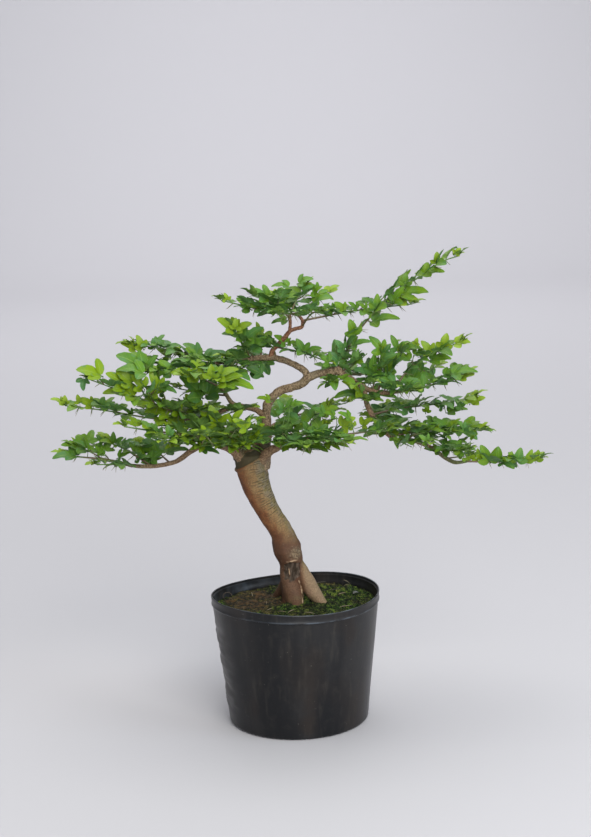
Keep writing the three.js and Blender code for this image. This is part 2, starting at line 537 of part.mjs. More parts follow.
const meets = (body, other, slack) =>
  boxesMeet(body.boundingBox(), other.boundingBox()) && body.intersect(other).volume() > slack;

const limbNames = Object.keys(LIMBS);
const wood = union(limbNames.map((name) => limbSolid(name)));
const woodRoom = union(limbNames.map((name) => limbSolid(name, GAP)));

const bonsai = new THREE.Group();
bonsai.name = 'limeberry_bonsai';
bonsai.add(mesh('nursery_pot', nurseryPot(), MATERIALS.pot));
bonsai.add(mesh('soil', soilBall().subtract(woodRoom), MATERIALS.soil));
bonsai.add(mesh('moss', mossMat().subtract(woodRoom), MATERIALS.moss));
bonsai.add(mesh('tree_wood', wood, MATERIALS.wood));

// Every leaf and spine takes the first of a few poses in which it is clear of all that stands there already.
const plans = Object.entries(SHOOTS).map(planShoot);
const stems = plans.map(stemSolid);
const taken = [wood];
const centres = [];

function isClear(patchOf, part, planNumber) {
  const body = sealed(patchOf(part));
  const room = sealed(patchOf(part, GAP));
  return !meets(body, stems[planNumber], TOUCH)
    && !stems.some((stem, i) => i !== planNumber && meets(room, stem, CLEAR))
    && !taken.some((other) => meets(room, other, CLEAR));
}

function placeLeaf(plan, node, planNumber) {
  for (let attempt = 0; attempt < POSES; attempt += 1) {
    const leaf = tryLeaf(plan, node, attempt);
    const close = centres.some((centre) => centre.distanceTo(leaf.centre) < LEAF_CLEARANCE * leaf.length);
    if (!close && isClear(leafPatch, leaf, planNumber)) {
      node.leaf = leaf;
      centres.push(leaf.centre);
      taken.push(sealed(leafPatch(leaf)));
      return;
    }
  }
}

function placeSpine(plan, node, planNumber) {
  for (let attempt = 0; attempt < POSES; attempt += 1) {
    const spine = trySpine(plan, node, attempt);
    if (isClear(spinePatch, spine, planNumber)) {
      node.spine = spine;
      taken.push(sealed(spinePatch(spine)));
      return;
    }
  }
}

const mostNodes = Math.max(...plans.map((plan) => plan.nodes.length));
for (let fromTip = 0; fromTip < mostNodes; fromTip += 1) {
  plans.forEach((plan, planNumber) => {
    const node = plan.nodes.find((n) => n.fromTip === fromTip);
    if (node) placeLeaf(plan, node, planNumber);
  });
}
plans.forEach((plan, planNumber) => {
  plan.nodes.filter((node) => node.fromTip > 0).forEach((node) => placeSpine(plan, node, planNumber));
  bonsai.add(mesh(plan.name, shootSolid(plan).subtract(woodRoom), MATERIALS.leaf));
});

export default bonsai;
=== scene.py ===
"""The finished look of a limeberry bonsai in its nursery pot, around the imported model.

Sizes are in millimetres in the model's own frame: +Z up, -Y towards the front, and the origin at the
centre of the pot's underside. They become metres when a mesh is made.
"""

from __future__ import annotations

import json
import logging
import math
from dataclasses import dataclass, field, replace
from enum import Enum
from typing import Any, ClassVar, Iterable, Sequence

import bpy
import numpy as np
from mathutils import Matrix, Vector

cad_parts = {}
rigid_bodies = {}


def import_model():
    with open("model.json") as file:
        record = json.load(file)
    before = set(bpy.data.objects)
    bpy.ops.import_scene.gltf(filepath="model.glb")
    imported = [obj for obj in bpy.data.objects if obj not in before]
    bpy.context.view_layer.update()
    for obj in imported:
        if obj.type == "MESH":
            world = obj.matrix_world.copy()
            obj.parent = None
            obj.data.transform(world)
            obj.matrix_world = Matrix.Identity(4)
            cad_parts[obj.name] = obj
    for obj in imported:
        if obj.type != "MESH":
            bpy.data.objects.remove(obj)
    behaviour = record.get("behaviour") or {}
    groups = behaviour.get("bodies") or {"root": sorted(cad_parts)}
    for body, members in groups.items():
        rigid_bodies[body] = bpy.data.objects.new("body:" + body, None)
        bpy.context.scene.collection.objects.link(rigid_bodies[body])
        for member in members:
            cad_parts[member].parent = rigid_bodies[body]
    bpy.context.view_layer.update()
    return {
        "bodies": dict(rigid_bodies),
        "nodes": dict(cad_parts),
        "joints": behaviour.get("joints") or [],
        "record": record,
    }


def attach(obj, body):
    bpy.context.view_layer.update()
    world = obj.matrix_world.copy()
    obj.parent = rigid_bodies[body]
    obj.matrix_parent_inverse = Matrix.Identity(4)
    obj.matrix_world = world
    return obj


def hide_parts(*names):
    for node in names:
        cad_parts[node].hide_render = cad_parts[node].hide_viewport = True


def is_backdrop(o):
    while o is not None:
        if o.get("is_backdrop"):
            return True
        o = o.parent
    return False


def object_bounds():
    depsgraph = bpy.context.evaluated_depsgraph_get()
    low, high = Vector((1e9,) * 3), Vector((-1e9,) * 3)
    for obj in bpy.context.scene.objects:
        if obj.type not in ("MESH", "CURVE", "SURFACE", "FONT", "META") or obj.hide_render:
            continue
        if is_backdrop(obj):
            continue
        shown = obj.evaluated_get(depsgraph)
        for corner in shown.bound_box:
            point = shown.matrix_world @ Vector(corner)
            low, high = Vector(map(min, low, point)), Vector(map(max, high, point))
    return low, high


log = logging.getLogger("bonsai")
Array = np.ndarray
Point = tuple[float, float, float]
Colour = tuple[float, float, float]
MM = 0.001
UP = np.array([0.0, 0.0, 1.0])
FULL_TURN = 6.2832
PHASE = 6.28
LEAST_LENGTH = 1e-9

# What makes a sine look random: it is turned far round and its small digits are taken.
SPREAD = 43758.5453
KEY_TURN = 12.9898
SALT_TURN = 78.233
CELL_TURNS = np.array([127.1, 311.7, 74.7])
SEED_TURN = 53.3


# Small sums


def draw(key: Any, salt: float) -> Any:
    """A repeatable draw from 0 to 1; the salt tells one use of a key from another."""
    value = np.sin(key * KEY_TURN + salt * SALT_TURN) * SPREAD
    return value - np.floor(value)


def smooth(value: Any, low: float, high: float) -> Any:
    """0 below low, 1 above high, and 3t^2 - 2t^3 between them; it falls if high is under low."""
    t = np.clip((value - low) / (high - low), 0.0, 1.0)
    return t * t * (3.0 - 2.0 * t)


def unit(vectors: Array) -> Array:
    """The vectors at length 1."""
    return vectors / np.maximum(np.linalg.norm(vectors, axis=-1, keepdims=True), LEAST_LENGTH)


def circle(count: int) -> Array:
    """The angles of this many even steps round a circle."""
    return np.arange(count) * 2 * np.pi / count


def flat_places(x: Array, y: Array) -> Array:
    """(n, 3) places at height 0."""
    return np.stack([x, y, np.zeros_like(x)], axis=1)


def path_directions(points: Array) -> Array:
    """The direction of a path at each of its points."""
    return unit(np.gradient(points, axis=0))


def noise(points: Array, size: float | Sequence[float], seed: float = 0.0) -> Array:
    """Soft lumps from -1 to 1: draws at the corners of cells of this size, blended smoothly between.

    Args:
        points: (n, 3) places.
        size: the width of a cell, or its width along each axis.
        seed: another number gives other lumps.

    Returns:
        One value for each place.
    """
    cell = points / np.asarray(size, float)
    base = np.floor(cell)
    part = cell - base
    part = part * part * (3.0 - 2.0 * part)
    total = np.zeros(len(points))
    for corner in np.ndindex(2, 2, 2):
        share = np.prod(np.where(np.array(corner) == 1, part, 1.0 - part), axis=1)
        at = base + corner
        mark = np.sin(at @ CELL_TURNS + seed * SEED_TURN) * SPREAD
        total += share * (mark - np.floor(mark))
    return 2.0 * total - 1.0


class Line:
    """A smooth line through points: a centripetal Catmull-Rom curve, in even steps along its length."""

    STEPS = 200
    NUDGE = 0.0001
    LEAST_GAP = 0.0001

    def __init__(self, points: Iterable[Sequence[float]]) -> None:
        """Measures the line through these points.

        Args:
            points: x, y and z of each; what follows them is left out.
        """
        self.points = np.array([p[:3] for p in points], float)
        self.marks = np.linspace(0.0, 1.0, self.STEPS + 1)
        steps = np.linalg.norm(np.diff(self.place(self.marks), axis=0), axis=1)
        self.lengths = np.concatenate([[0.0], np.cumsum(steps)])
        self.length = float(self.lengths[-1])

    def place(self, mark: Array) -> Array:
        """The cubic through each four points, whose slopes follow the fourth root of squared distance.

        Args:
            mark: values from 0 to 1 that run evenly over the points.

        Returns:
            (n, 3) places.
        """
        points = self.points
        along = np.clip(mark, 0.0, 1.0) * (len(points) - 1)
        first = np.minimum(along.astype(int), len(points) - 2)
        w = (along - first)[:, None]
        ends = np.vstack([2 * points[0] - points[1], points, 2 * points[-1] - points[-2]])
        a, b, c, d = (ends[first + i] for i in range(4))
        gaps = [
            np.maximum(np.sum((q - p) ** 2, axis=1) ** 0.25, self.LEAST_GAP)[:, None]
            for p, q in ((a, b), (b, c), (c, d))]
        slope_b = ((b - a) / gaps[0] - (c - a) / (gaps[0] + gaps[1]) + (c - b) / gaps[1]) * gaps[1]
        slope_c = ((c - b) / gaps[1] - (d - b) / (gaps[1] + gaps[2]) + (d - c) / gaps[2]) * gaps[1]
        square = -3 * b + 3 * c - 2 * slope_b - slope_c
        cube = 2 * b - 2 * c + slope_b + slope_c
        return ((cube * w + square) * w + slope_b) * w + b

    def mark(self, share: Any) -> Array:
        """The marks at these shares of the length."""
        return np.interp(np.atleast_1d(share) * self.length, self.lengths, self.marks)

    def at(self, share: Any) -> Array:
        """The places at these shares of the length."""
        return self.place(self.mark(share))

    def tangent(self, share: Any) -> Array:
        """The directions at these shares of the length."""
        mark = self.mark(share)
        ahead = self.place(np.minimum(mark + self.NUDGE, 1.0))
        return unit(ahead - self.place(np.maximum(mark - self.NUDGE, 0.0)))


# Surfaces


@dataclass
class Surface:
    """Points and faces, with the numbers that ride on them.

    The fourth corner of a triangle is -1. values holds a number for each point, sides one for each face,
    and looks the material slot of each face.
    """

    points: Array
    faces: Array
    values: dict[str, Array] = field(default_factory=dict)
    sides: dict[str, Array] = field(default_factory=dict)
    looks: Array | None = None
    uv: Array | None = None
    rim: Array | None = None

    @staticmethod
    def join(parts: Sequence[Surface]) -> Surface:
        """One surface of all the parts; a number that a part lacks is 0 there.

        Args:
            parts: the surfaces, in the order that they get.

        Returns:
            The joined surface.
        """
        counts = [len(part.points) for part in parts]
        starts = np.concatenate([[0], np.cumsum(counts)[:-1]])
        faces = [np.where(part.faces < 0, -1, part.faces + start) for part, start in zip(parts, starts)]

        def gather(kind: str, name: str, size: str) -> Array:
            """The named numbers of every part, in order."""
            return np.concatenate([
                getattr(p, kind).get(name, np.zeros(len(getattr(p, size)))) for p in parts])

        def named(kind: str, size: str) -> dict[str, Array]:
            """Every number of this kind that some part has."""
            names = sorted({name for part in parts for name in getattr(part, kind)})
            return {name: gather(kind, name, size) for name in names}

        return Surface(
            np.concatenate([part.points for part in parts]),
            np.concatenate(faces),
            named("values", "points"),
            named("sides", "faces"),
            np.concatenate([np.zeros(len(p.faces), int) if p.looks is None else p.looks for p in parts]),
            np.concatenate([np.zeros((len(p.points), 2)) if p.uv is None else p.uv for p in parts]),
            np.concatenate([np.zeros(len(p.points), bool) if p.rim is None else p.rim for p in parts]),
        )

    def made(self, name: str, materials: Sequence[bpy.types.Material] = ()) -> bpy.types.Object:
        """A smooth-shaded object of this surface, in metres, at the origin.

        Args:
            name: the object's name.
            materials: one for each slot.

        Returns:
            The new object.
        """
        mesh = bpy.data.meshes.new(name)
        mesh.vertices.add(len(self.points))
        mesh.vertices.foreach_set("co", (self.points * MM).ravel())
        corners = self.faces[self.faces >= 0]
        counts = np.sum(self.faces >= 0, axis=1)
        mesh.loops.add(len(corners))
        mesh.loops.foreach_set("vertex_index", corners)
        mesh.polygons.add(len(self.faces))
        mesh.polygons.foreach_set("loop_start", np.concatenate([[0], np.cumsum(counts)[:-1]]))
        mesh.update(calc_edges=True)
        mesh.polygons.foreach_set("use_smooth", np.ones(len(self.faces), bool))
        if self.looks is not None:
            mesh.polygons.foreach_set("material_index", self.looks)
        for domain, numbers in (("POINT", self.values), ("FACE", self.sides)):
            for label, number in numbers.items():
                attribute = mesh.attributes.new(label, "FLOAT", domain)
                attribute.data.foreach_set("value", number.astype(np.float32))
        if self.uv is not None:
            layer = mesh.uv_layers.new(name="surface")
            layer.data.foreach_set("uv", self.uv[corners].astype(np.float32).ravel())
        if self.rim is not None and self.rim.any():
            edges = np.empty(2 * len(mesh.edges), int)
            mesh.edges.foreach_get("vertices", edges)
            mesh.edges.foreach_set("use_edge_sharp", self.rim[edges.reshape(-1, 2)].all(axis=1))
        for material in materials:
            mesh.materials.append(material)
        made = bpy.data.objects.new(name, mesh)
        bpy.context.scene.collection.objects.link(made)
        return made


def sheet_faces(rows: int, columns: int, closed: bool = False) -> Array:
    """The quads of a grid of points.

    Args:
        rows: how many rows of points.
        columns: how many points in a row.
        closed: whether each row runs round to its start.

    Returns:
        (n, 4) corners.
    """
    start = columns * np.arange(rows - 1)[:, None]
    column = np.arange(columns if closed else columns - 1)[None, :]
    after = (column + 1) % columns
    corners = [start + column, start + after, start + columns + after, start + columns + column]
    return np.stack(corners, axis=-1).reshape(-1, 4)


def fan_faces(ring: Array, centre: int, ahead: bool) -> Array:
    """The triangles between a ring of points and its centre.

    Args:
        ring: the numbers of the ring's points.
        centre: the number of the centre.
        ahead: whether they face ahead along the tube, or back.

    Returns:
        (n, 4) corners, the last of them -1.
    """
    after = np.roll(ring, -1)
    pair = (ring, after) if ahead else (after, ring)
    return np.stack([*pair, np.full(len(ring), centre), np.full(len(ring), -1)], axis=1)


def carried(tangents: Array) -> tuple[Array, Array]:
    """Two directions square to a line, carried along it so that they never twist.

    Args:
        tangents: (n, 3) directions of the line.

    Returns:
        The first and the second direction at each place.
    """
    axis = np.eye(3)[np.argmin(np.abs(tangents[0]))]
    first = []
    for tangent in tangents:
        axis = axis - tangent * (axis @ tangent)
        axis = axis / np.linalg.norm(axis)
        first.append(axis)
    normals = np.array(first)
    return normals, np.cross(tangents, normals)


def capped_faces(rings: int, sides: int) -> Array:
    """The faces of a closed tube whose two caps' centres follow its rings.

    Args:
        rings: how many rings.
        sides: how many points in a ring.

    Returns:
        (n, 4) corners.
    """
    count = rings * sides
    return np.concatenate([
        sheet_faces(rings, sides, True),
        fan_faces(np.arange(sides), count, False),
        fan_faces(np.arange(count - sides, count), count + 1, True)])


def tube(points: Array, tangents: Array, radii: Array, sides: int, look: int = 0) -> Surface:
    """A closed round tube: rings square to the line at each point, with a domed cap at either end.

    Args:
        points: (n, 3) middle line.
        tangents: (n, 3) directions.
        radii: (n,) or (n, sides) sizes.
        sides: points in a ring.
        look: the material slot.

    Returns:
        The surface, with values along (mm) and turn (0 to 1).
    """
    normals, binormals = carried(tangents)
    angle = circle(sides)
    cosine, sine = np.cos(angle)[None, :, None], np.sin(angle)[None, :, None]
    ring = cosine * normals[:, None] + sine * binormals[:, None]
    size = np.broadcast_to(radii if radii.ndim == 2 else radii[:, None], (len(points), sides))
    grid = points[:, None] + ring * size[..., None]
    caps = np.array([
        points[0] - tangents[0] * size[0].mean() * 0.5,
        points[-1] + tangents[-1] * size[-1].mean() * 0.5])
    faces = capped_faces(len(points), sides)
    run = np.concatenate([[0.0], np.cumsum(np.linalg.norm(np.diff(points, axis=0), axis=1))])
    along = np.concatenate([np.repeat(run, sides), [0.0, run[-1]]])
    turn = np.concatenate([np.tile(angle / (2 * np.pi), len(points)), [0.0, 0.0]])
    whole = np.vstack([grid.reshape(-1, 3), caps])
    return Surface(whole, faces, {"along": along, "turn": turn}, looks=np.full(len(faces), look))


# Shaders


class Value:
    """A shader's socket, on which Python's operators add Math nodes."""

    def __init__(self, shader: Shader, socket: bpy.types.NodeSocket) -> None:
        """Wraps a node's output."""
        self.shader = shader
        self.socket = socket

    def math(self, operation: str, first: Any, second: Any = 0.0) -> Value:
        """The result of a Math node on two values."""
        return self.shader.node("ShaderNodeMath", {"operation": operation}, {0: first, 1: second})

    def __add__(self, other: Any) -> Value:
        """self + other."""
        return self.math("ADD", self, other)

    __radd__ = __add__

    def __sub__(self, other: Any) -> Value:
        """self - other."""
        return self.math("SUBTRACT", self, other)

    def __rsub__(self, other: Any) -> Value:
        """other - self."""
        return self.math("SUBTRACT", other, self)

    def __mul__(self, other: Any) -> Value:
        """self * other."""
        return self.math("MULTIPLY", self, other)

    __rmul__ = __mul__

    def __abs__(self) -> Value:
        """The size of self."""
        return self.math("ABSOLUTE", self)

    def wave(self) -> Value:
        """The sine of self."""
        return self.math("SINE", self)

    def step(self, low: float, high: float) -> Value:
        """0 at low, 1 at high, and smooth between them.

        Args:
            low: where it starts, which may be the larger of the two.
            high: where it ends.

        Returns:
            The result of a Map Range node.
        """
        flip = high < low
        settings = {"interpolation_type": "SMOOTHSTEP", "clamp": True}
        ends = {
            "From Min": min(low, high), "From Max": max(low, high),
            "To Min": float(flip), "To Max": float(not flip)}
        return self.shader.node("ShaderNodeMapRange", settings, {"Value": self, **ends})


class Shader:
    """A material under construction."""

    def __init__(self, name: str) -> None:
        """Makes an empty material of this name.

        Args:
            name: the material's name.
        """
        self.material = bpy.data.materials.new(name)
        self.material.use_nodes = True
        self.tree = self.material.node_tree
        self.tree.nodes.clear()
        self.object_place = self.node("ShaderNodeTexCoord", {}, {}, "Object")

    def node(self, kind: str, settings: dict[str, Any], sockets: dict[Any, Any], out: Any = 0) -> Value:
        """Adds a node.

        Args:
            kind: the node's type.
            settings: its properties, which are set first; "stops" are a ramp's.
            sockets: a value or a link for each input, by name or number.
            out: the output that is returned, by name or number.

        Returns:
            The chosen output.
        """
        node = self.tree.nodes.new(kind)
        for label, setting in settings.items():
            if label == "stops":
                self.set_stops(node.color_ramp, setting)
            else:
                setattr(node, label, setting)
        for label, value in sockets.items():
            if isinstance(value, Value):
                self.tree.links.new(value.socket, node.inputs[label])
            else:
                node.inputs[label].default_value = value
        return Value(self, node.outputs[out])

    @staticmethod
    def set_stops(ramp: bpy.types.ColorRamp, stops: Sequence[tuple[float, Colour]]) -> None:
        """Gives a ramp these stops.

        Args:
            ramp: the ramp.
            stops: the place and the colour of each, in order.
        """
        while len(ramp.elements) < len(stops):
            ramp.elements.new(1.0)
        for element, (place, colour) in zip(ramp.elements, stops):
            element.position = place
            element.color = (*colour, 1.0)

    def ramp(self, value: Value, *stops: tuple[float, Colour]) -> Value:
        """The colour of a value on a ramp."""
        return self.node("ShaderNodeValToRGB", {"stops": stops}, {"Fac": value}, "Color")

    def number(self, name: str) -> Value:
        """A number that rides on the mesh."""
        return self.node("ShaderNodeAttribute", {"attribute_name": name}, {}, "Fac")

    def blend(self, share: Any, first: Any, second: Any) -> Value:
        """Two colours mixed by a share."""
        ends = [v if isinstance(v, Value) else (*v, 1.0) for v in (first, second)]
        settings = {"data_type": "RGBA", "blend_type": "MIX", "clamp_factor": True}
        return self.node("ShaderNodeMix", settings, {0: share, 6: ends[0], 7: ends[1]}, 2)

    def stretched(self, scale: Point) -> Value:
        """Object coordinates with each axis scaled, which stretches a pattern."""
        sockets = {"Vector": self.object_place, "Scale": scale}
        return self.node("ShaderNodeMapping", {"vector_type": "POINT"}, sockets)

    def noise(self, size: float, detail: float = 3.0, place: Value | None = None) -> Value:
        """Fractal noise with lumps of this size in millimetres."""
        sockets = {"Vector": place or self.object_place, "Scale": 1.0 / (size * MM), "Detail": detail}
        return self.node("ShaderNodeTexNoise", {}, sockets)

    def cells(self, size: float) -> Value:
        """How far it is to the middle of the cell, in cells of this size in millimetres."""
        sockets = {"Vector": self.object_place, "Scale": 1.0 / (size * MM)}
        return self.node("ShaderNodeTexVoronoi", {"feature": "F1"}, sockets, "Distance")

    def bump(self, height: Value, strength: float) -> Value:
        """A normal that leans as this height in millimetres does."""
        sockets = {"Height": height, "Distance": MM, "Strength": strength}
        return self.node("ShaderNodeBump", {}, sockets, "Normal")

    def surface(self, colour: Any, roughness: Value, normal: Value, specular: float = 0.5) -> Value:
        """A Principled shader."""
        sockets = {
            "Base Color": colour if isinstance(colour, Value) else (*colour, 1.0),
            "Roughness": roughness, "Normal": normal, "Specular IOR Level": specular}
        return self.node("ShaderNodeBsdfPrincipled", {}, sockets)

    def finished(self, surface: Value) -> bpy.types.Material:
        """The material, with this surface at its output."""
        output = self.tree.nodes.new("ShaderNodeOutputMaterial")
        self.tree.links.new(surface.socket, output.inputs["Surface"])
        return self.material


# Finishes


@dataclass(frozen=True)
class PotPlastic:
    """Soft black plastic: a faint moulded grain, dusty streaks, pale scuffs and specks of dried soil."""

    black: Colour = (0.0074, 0.0078, 0.0092)
    worn: Colour = (0.0190, 0.0184, 0.0190)
    warm: Colour = (0.0195, 0.0160, 0.0145)
    dust: Colour = (0.055, 0.049, 0.041)
    scuffed: Colour = (0.13, 0.125, 0.12)
    soil: Colour = (0.16, 0.15, 0.13)
    # painted highlight: the pale blue of light caught on the rim and the collar's edge, and of a
    # reflection on the inner wall
    painted_highlight: Colour = (0.105, 0.130, 0.160)

    def material(self) -> bpy.types.Material:
        """Builds the material.

        Returns:
            The material.
        """
        s = Shader("pot_plastic")
        upright = s.stretched((1.0, 1.0, 0.16))
        cloud = s.noise(46.0, 4.0, upright)
        streak = s.noise(7.0, 3.0, upright).step(0.52, 0.78)
        fine = s.noise(1.1, 2.0)
        speck = s.cells(9.0).step(0.085, 0.05) * s.noise(30.0).step(0.46, 0.62)
        scuff = s.noise(3.0, 2.0, s.stretched((0.35, 0.35, 1.6))).step(0.70, 0.76)
        scuff = scuff * s.noise(42.0, 2.0).step(0.50, 0.66)
        tint = s.blend(s.noise(60.0, 2.0).step(0.42, 0.60), self.worn, self.warm)
        colour = s.blend(cloud.step(0.36, 0.70), self.black, tint)
        colour = s.blend(streak * 0.22 + s.noise(11.0).step(0.5, 0.8) * 0.12, colour, self.dust)
        colour = s.blend(scuff * 0.30, colour, self.scuffed)
        # painted highlight along the rim and the collar's edge, broken by noise, and a painted
        # reflection inside the wall
        painted_edge_highlight = s.number("edge") * s.noise(24.0, 3.0).step(0.34, 0.62) * 0.8
        colour = s.blend(painted_edge_highlight, colour, self.painted_highlight)
        colour = s.blend(speck * 0.35, colour, self.soil)
        roughness = cloud * 0.20 + streak * 0.10 + scuff * 0.15 + 0.22
        height = fine * 0.05 + s.noise(5.0, 3.0) * 0.10 + speck * 0.15
        return s.finished(s.surface(colour, roughness, s.bump(height, 0.5), specular=0.22))


@dataclass(frozen=True)
class SoilMix:
    """Dark, damp potting soil with grit and crumbs of bark."""

    damp: Colour = (0.020, 0.013, 0.009)
    crumb: Colour = (0.085, 0.055, 0.034)
    grit: Colour = (0.26, 0.22, 0.17)

    def material(self) -> bpy.types.Material:
        """Builds the material.

        Returns:
            The material.
        """
        s = Shader("soil_mix")
        grain = s.noise(3.0, 5.0)
        lump = s.cells(4.5)
        grit = s.cells(6.5).step(0.16, 0.08) * s.noise(12.0).step(0.5, 0.6)
        colour = s.blend(grain.step(0.40, 0.72), self.damp, self.crumb)
        colour = s.blend(grit, colour, self.grit)
        return s.finished(s.surface(colour, grain * 0.15 + 0.8, s.bump(grain * 0.8 - lump * 0.9, 0.9)))


@dataclass(frozen=True)
class MossGreen:
    """Moss whose patches run from dead brown through dark green to fresh yellow green, with painted
    shade in the gaps between cushions and on the mat.
    """

    dead: Colour = (0.150, 0.078, 0.028)
    straw: Colour = (0.300, 0.250, 0.140)
    # dark: the painted shade in the gaps between the cushions of green moss
    dark: Colour = (0.006, 0.012, 0.005)
    green: Colour = (0.030, 0.074, 0.013)
    fresh: Colour = (0.150, 0.215, 0.030)
    gold: Colour = (0.240, 0.310, 0.040)
    # rot_and_gap_shade: dark dead moss, and the painted shade in the gaps between its cushions
    rot_and_gap_shade: Colour = (0.010, 0.009, 0.005)
    # depth: the dark of the painted shade that the mat lies in, under the sprigs
    depth: Colour = (0.012, 0.012, 0.006)

    def material(self, name: str, lift: float) -> bpy.types.Material:
        """Builds the material.

        Args:
            name: the material's name.
            lift: how much lighter the tips are than the mat, which lies in their shade.

        Returns:
            The material.
        """
        s = Shader(name)
        life = s.number("life")
        shade = s.number("shade")
        # painted shade: low values of this noise paint dark gaps between the cushions; it is also the
        # moss's own patchy colour
        clump = s.noise(4.4, 5.0).step(0.36, 0.66) * 0.66
        living = s.ramp(shade * 0.42 + clump, (0.30, self.dark), (0.60, self.green), (0.94, self.fresh))
        living = s.blend(s.number("glow") * (shade * 0.5 + clump).step(0.45, 1.0), living, self.gold)
        dying = s.ramp(shade * 0.42 + clump, (0.30, self.rot_and_gap_shade), (0.90, self.dead))
        crumbs = s.cells(2.4).step(0.34, 0.22) * s.noise(5.0, 2.0).step(0.48, 0.58)
        dying = s.blend(crumbs * 0.7, dying, self.straw)
        colour = s.blend(life, dying, living)
        # painted shade: the mat (lift 0.45) is darkened towards depth, as if in the sprigs' shade
        colour = s.blend(1.0 - lift, colour, self.depth)
        normal = s.bump(s.noise(1.3, 2.0) * 0.9, 0.8)
        return s.finished(s.surface(colour, s.noise(2.0) * 0.2 + 0.75, normal, specular=0.15))


@dataclass(frozen=True)
class Bark:
    """Citrus bark: orange tan on one side and olive grey on the other, with fine rings round the stem.

    It reads these numbers from the mesh: olive, low, ringed, gnarled, scar, callus, stain, red,
    fresh, dusk, burr and along. stain holds real stains and the painted shade
    under the branches and twigs; dusk is painted shade on the lower trunk.
    """

    tan: Colour = (0.186, 0.077, 0.030)
    rust: Colour = (0.115, 0.041, 0.016)
    ochre: Colour = (0.204, 0.127, 0.056)
    olive: Colour = (0.157, 0.127, 0.053)
    grey: Colour = (0.172, 0.148, 0.098)
    pink: Colour = (0.230, 0.163, 0.106)
    # shade_umber: the colour of the painted shade on the lower trunk
    shade_umber: Colour = (0.082, 0.038, 0.021)
    wood: Colour = (0.258, 0.188, 0.113)
    dead: Colour = (0.022, 0.016, 0.010)
    callus: Colour = (0.38, 0.27, 0.17)
    # stain: the dark of the ring marks and stains, and of the painted shade under the limbs
    stain: Colour = (0.040, 0.038, 0.020)
    twig: Colour = (0.160, 0.060, 0.034)
    young_twig: Colour = (0.26, 0.14, 0.08)
    green: Colour = (0.060, 0.105, 0.026)
    pit: Colour = (0.035, 0.022, 0.014)
    old: Colour = (0.100, 0.068, 0.042)
    crack: Colour = (0.045, 0.026, 0.016)
    lichen: Colour = (0.34, 0.30, 0.21)
    rotten: Colour = (0.072, 0.049, 0.035)
    bleached: Colour = (0.15, 0.115, 0.088)

    def material(self) -> bpy.types.Material:
        """Builds the material.

        Returns:
            The material.
        """
        s = Shader("bark")
        patch = s.noise(13.0, 4.0)
        fine = s.noise(1.8, 4.0)
        along = s.number("along")
        ringed = s.number("ringed")
        gnarled = s.number("gnarled")
        scar = s.number("scar")
        broken = s.noise(3.2, 2.0, s.stretched((0.32, 0.32, 1.0))).step(0.42, 0.56)
        ring = (along * 1.9 + s.noise(7.0, 2.0) * 6.0).wave().step(0.30, 0.85) * broken * ringed
        tan = s.blend(patch.step(0.34, 0.62), self.rust, self.tan)
        olive = s.blend(s.noise(7.0, 3.0).step(0.40, 0.64), self.olive, self.grey)
        side = s.number("olive") + (patch - 0.5) * 0.25
        colour = s.blend(side.step(0.12, 0.50), tan, self.ochre)
        colour = s.blend(side.step(0.48, 0.86), colour, olive)
        colour = s.blend(s.number("low") * (patch * 0.4 + 0.6), colour, self.pink)
        # painted shade: the lower trunk and the front root are darkened towards umber
        colour = s.blend(s.number("dusk") * (patch * 0.6 + 0.70), colour, self.shade_umber)
        burr = s.cells(2.6).step(0.62, 0.30)
        colour = s.blend(s.number("burr") * 0.85, colour, s.blend(burr, self.pit, self.grey))
        dead_spots = s.cells(3.6).step(0.20, 0.05) * patch.step(0.52, 0.60) * 0.55
        colour = s.blend(dead_spots, colour, self.dead)
        old = s.blend(fine.step(0.30, 0.60), self.old, self.wood)
        colour = s.blend(gnarled, colour, s.blend(patch.step(0.5, 0.66) * 0.55, old, self.grey))
        twig = s.blend(fine.step(0.35, 0.7), self.twig, self.young_twig)
        colour = s.blend(s.number("red"), colour, twig)
        colour = s.blend(s.number("fresh"), colour, self.green)
        colour = s.blend(ring * 0.80, colour, self.stain)
        colour = s.blend(fine.step(0.60, 0.42) * 0.32, colour, self.crack)
        lichen_spots = s.cells(5.0).step(0.13, 0.05) * patch.step(0.40, 0.5) * 0.35
        colour = s.blend(lichen_spots, colour, self.lichen)
        # painted shade: this number also darkens the undersides of branches and twigs; elsewhere it is
        # stain on the cut wood and darker bark at the foot
        stained_and_shaded = (s.number("stain") + (fine - 0.5) * 0.4).step(0.25, 0.7)
        colour = s.blend(stained_and_shaded * 0.88, colour, self.stain)
        streaks = s.noise(3.4, 4.0, s.stretched((1.0, 1.0, 0.35)))
        rotten = s.blend(fine, self.rotten, self.bleached)
        rotten = s.blend(streaks.step(0.38, 0.78), self.dead, rotten)
        colour = s.blend((scar + (fine - 0.5) * 0.8).step(0.25, 0.80) * 0.92, colour, rotten)
        healed = (s.number("callus") + (fine - 0.5) * 0.3).step(0.3, 0.8)
        colour = s.blend(healed * 0.8, colour, self.callus)
        furrow = s.noise(2.4, 4.0, s.stretched((1.0, 1.0, 0.4)))
        height = furrow * (gnarled * 0.9 + 0.30) + fine * 0.25 - ring * 0.22
        height = height + s.noise(0.9, 2.0) * scar * 0.8
        return s.finished(s.surface(colour, fine * 0.2 + 0.62, s.bump(height, 0.75), specular=0.18))


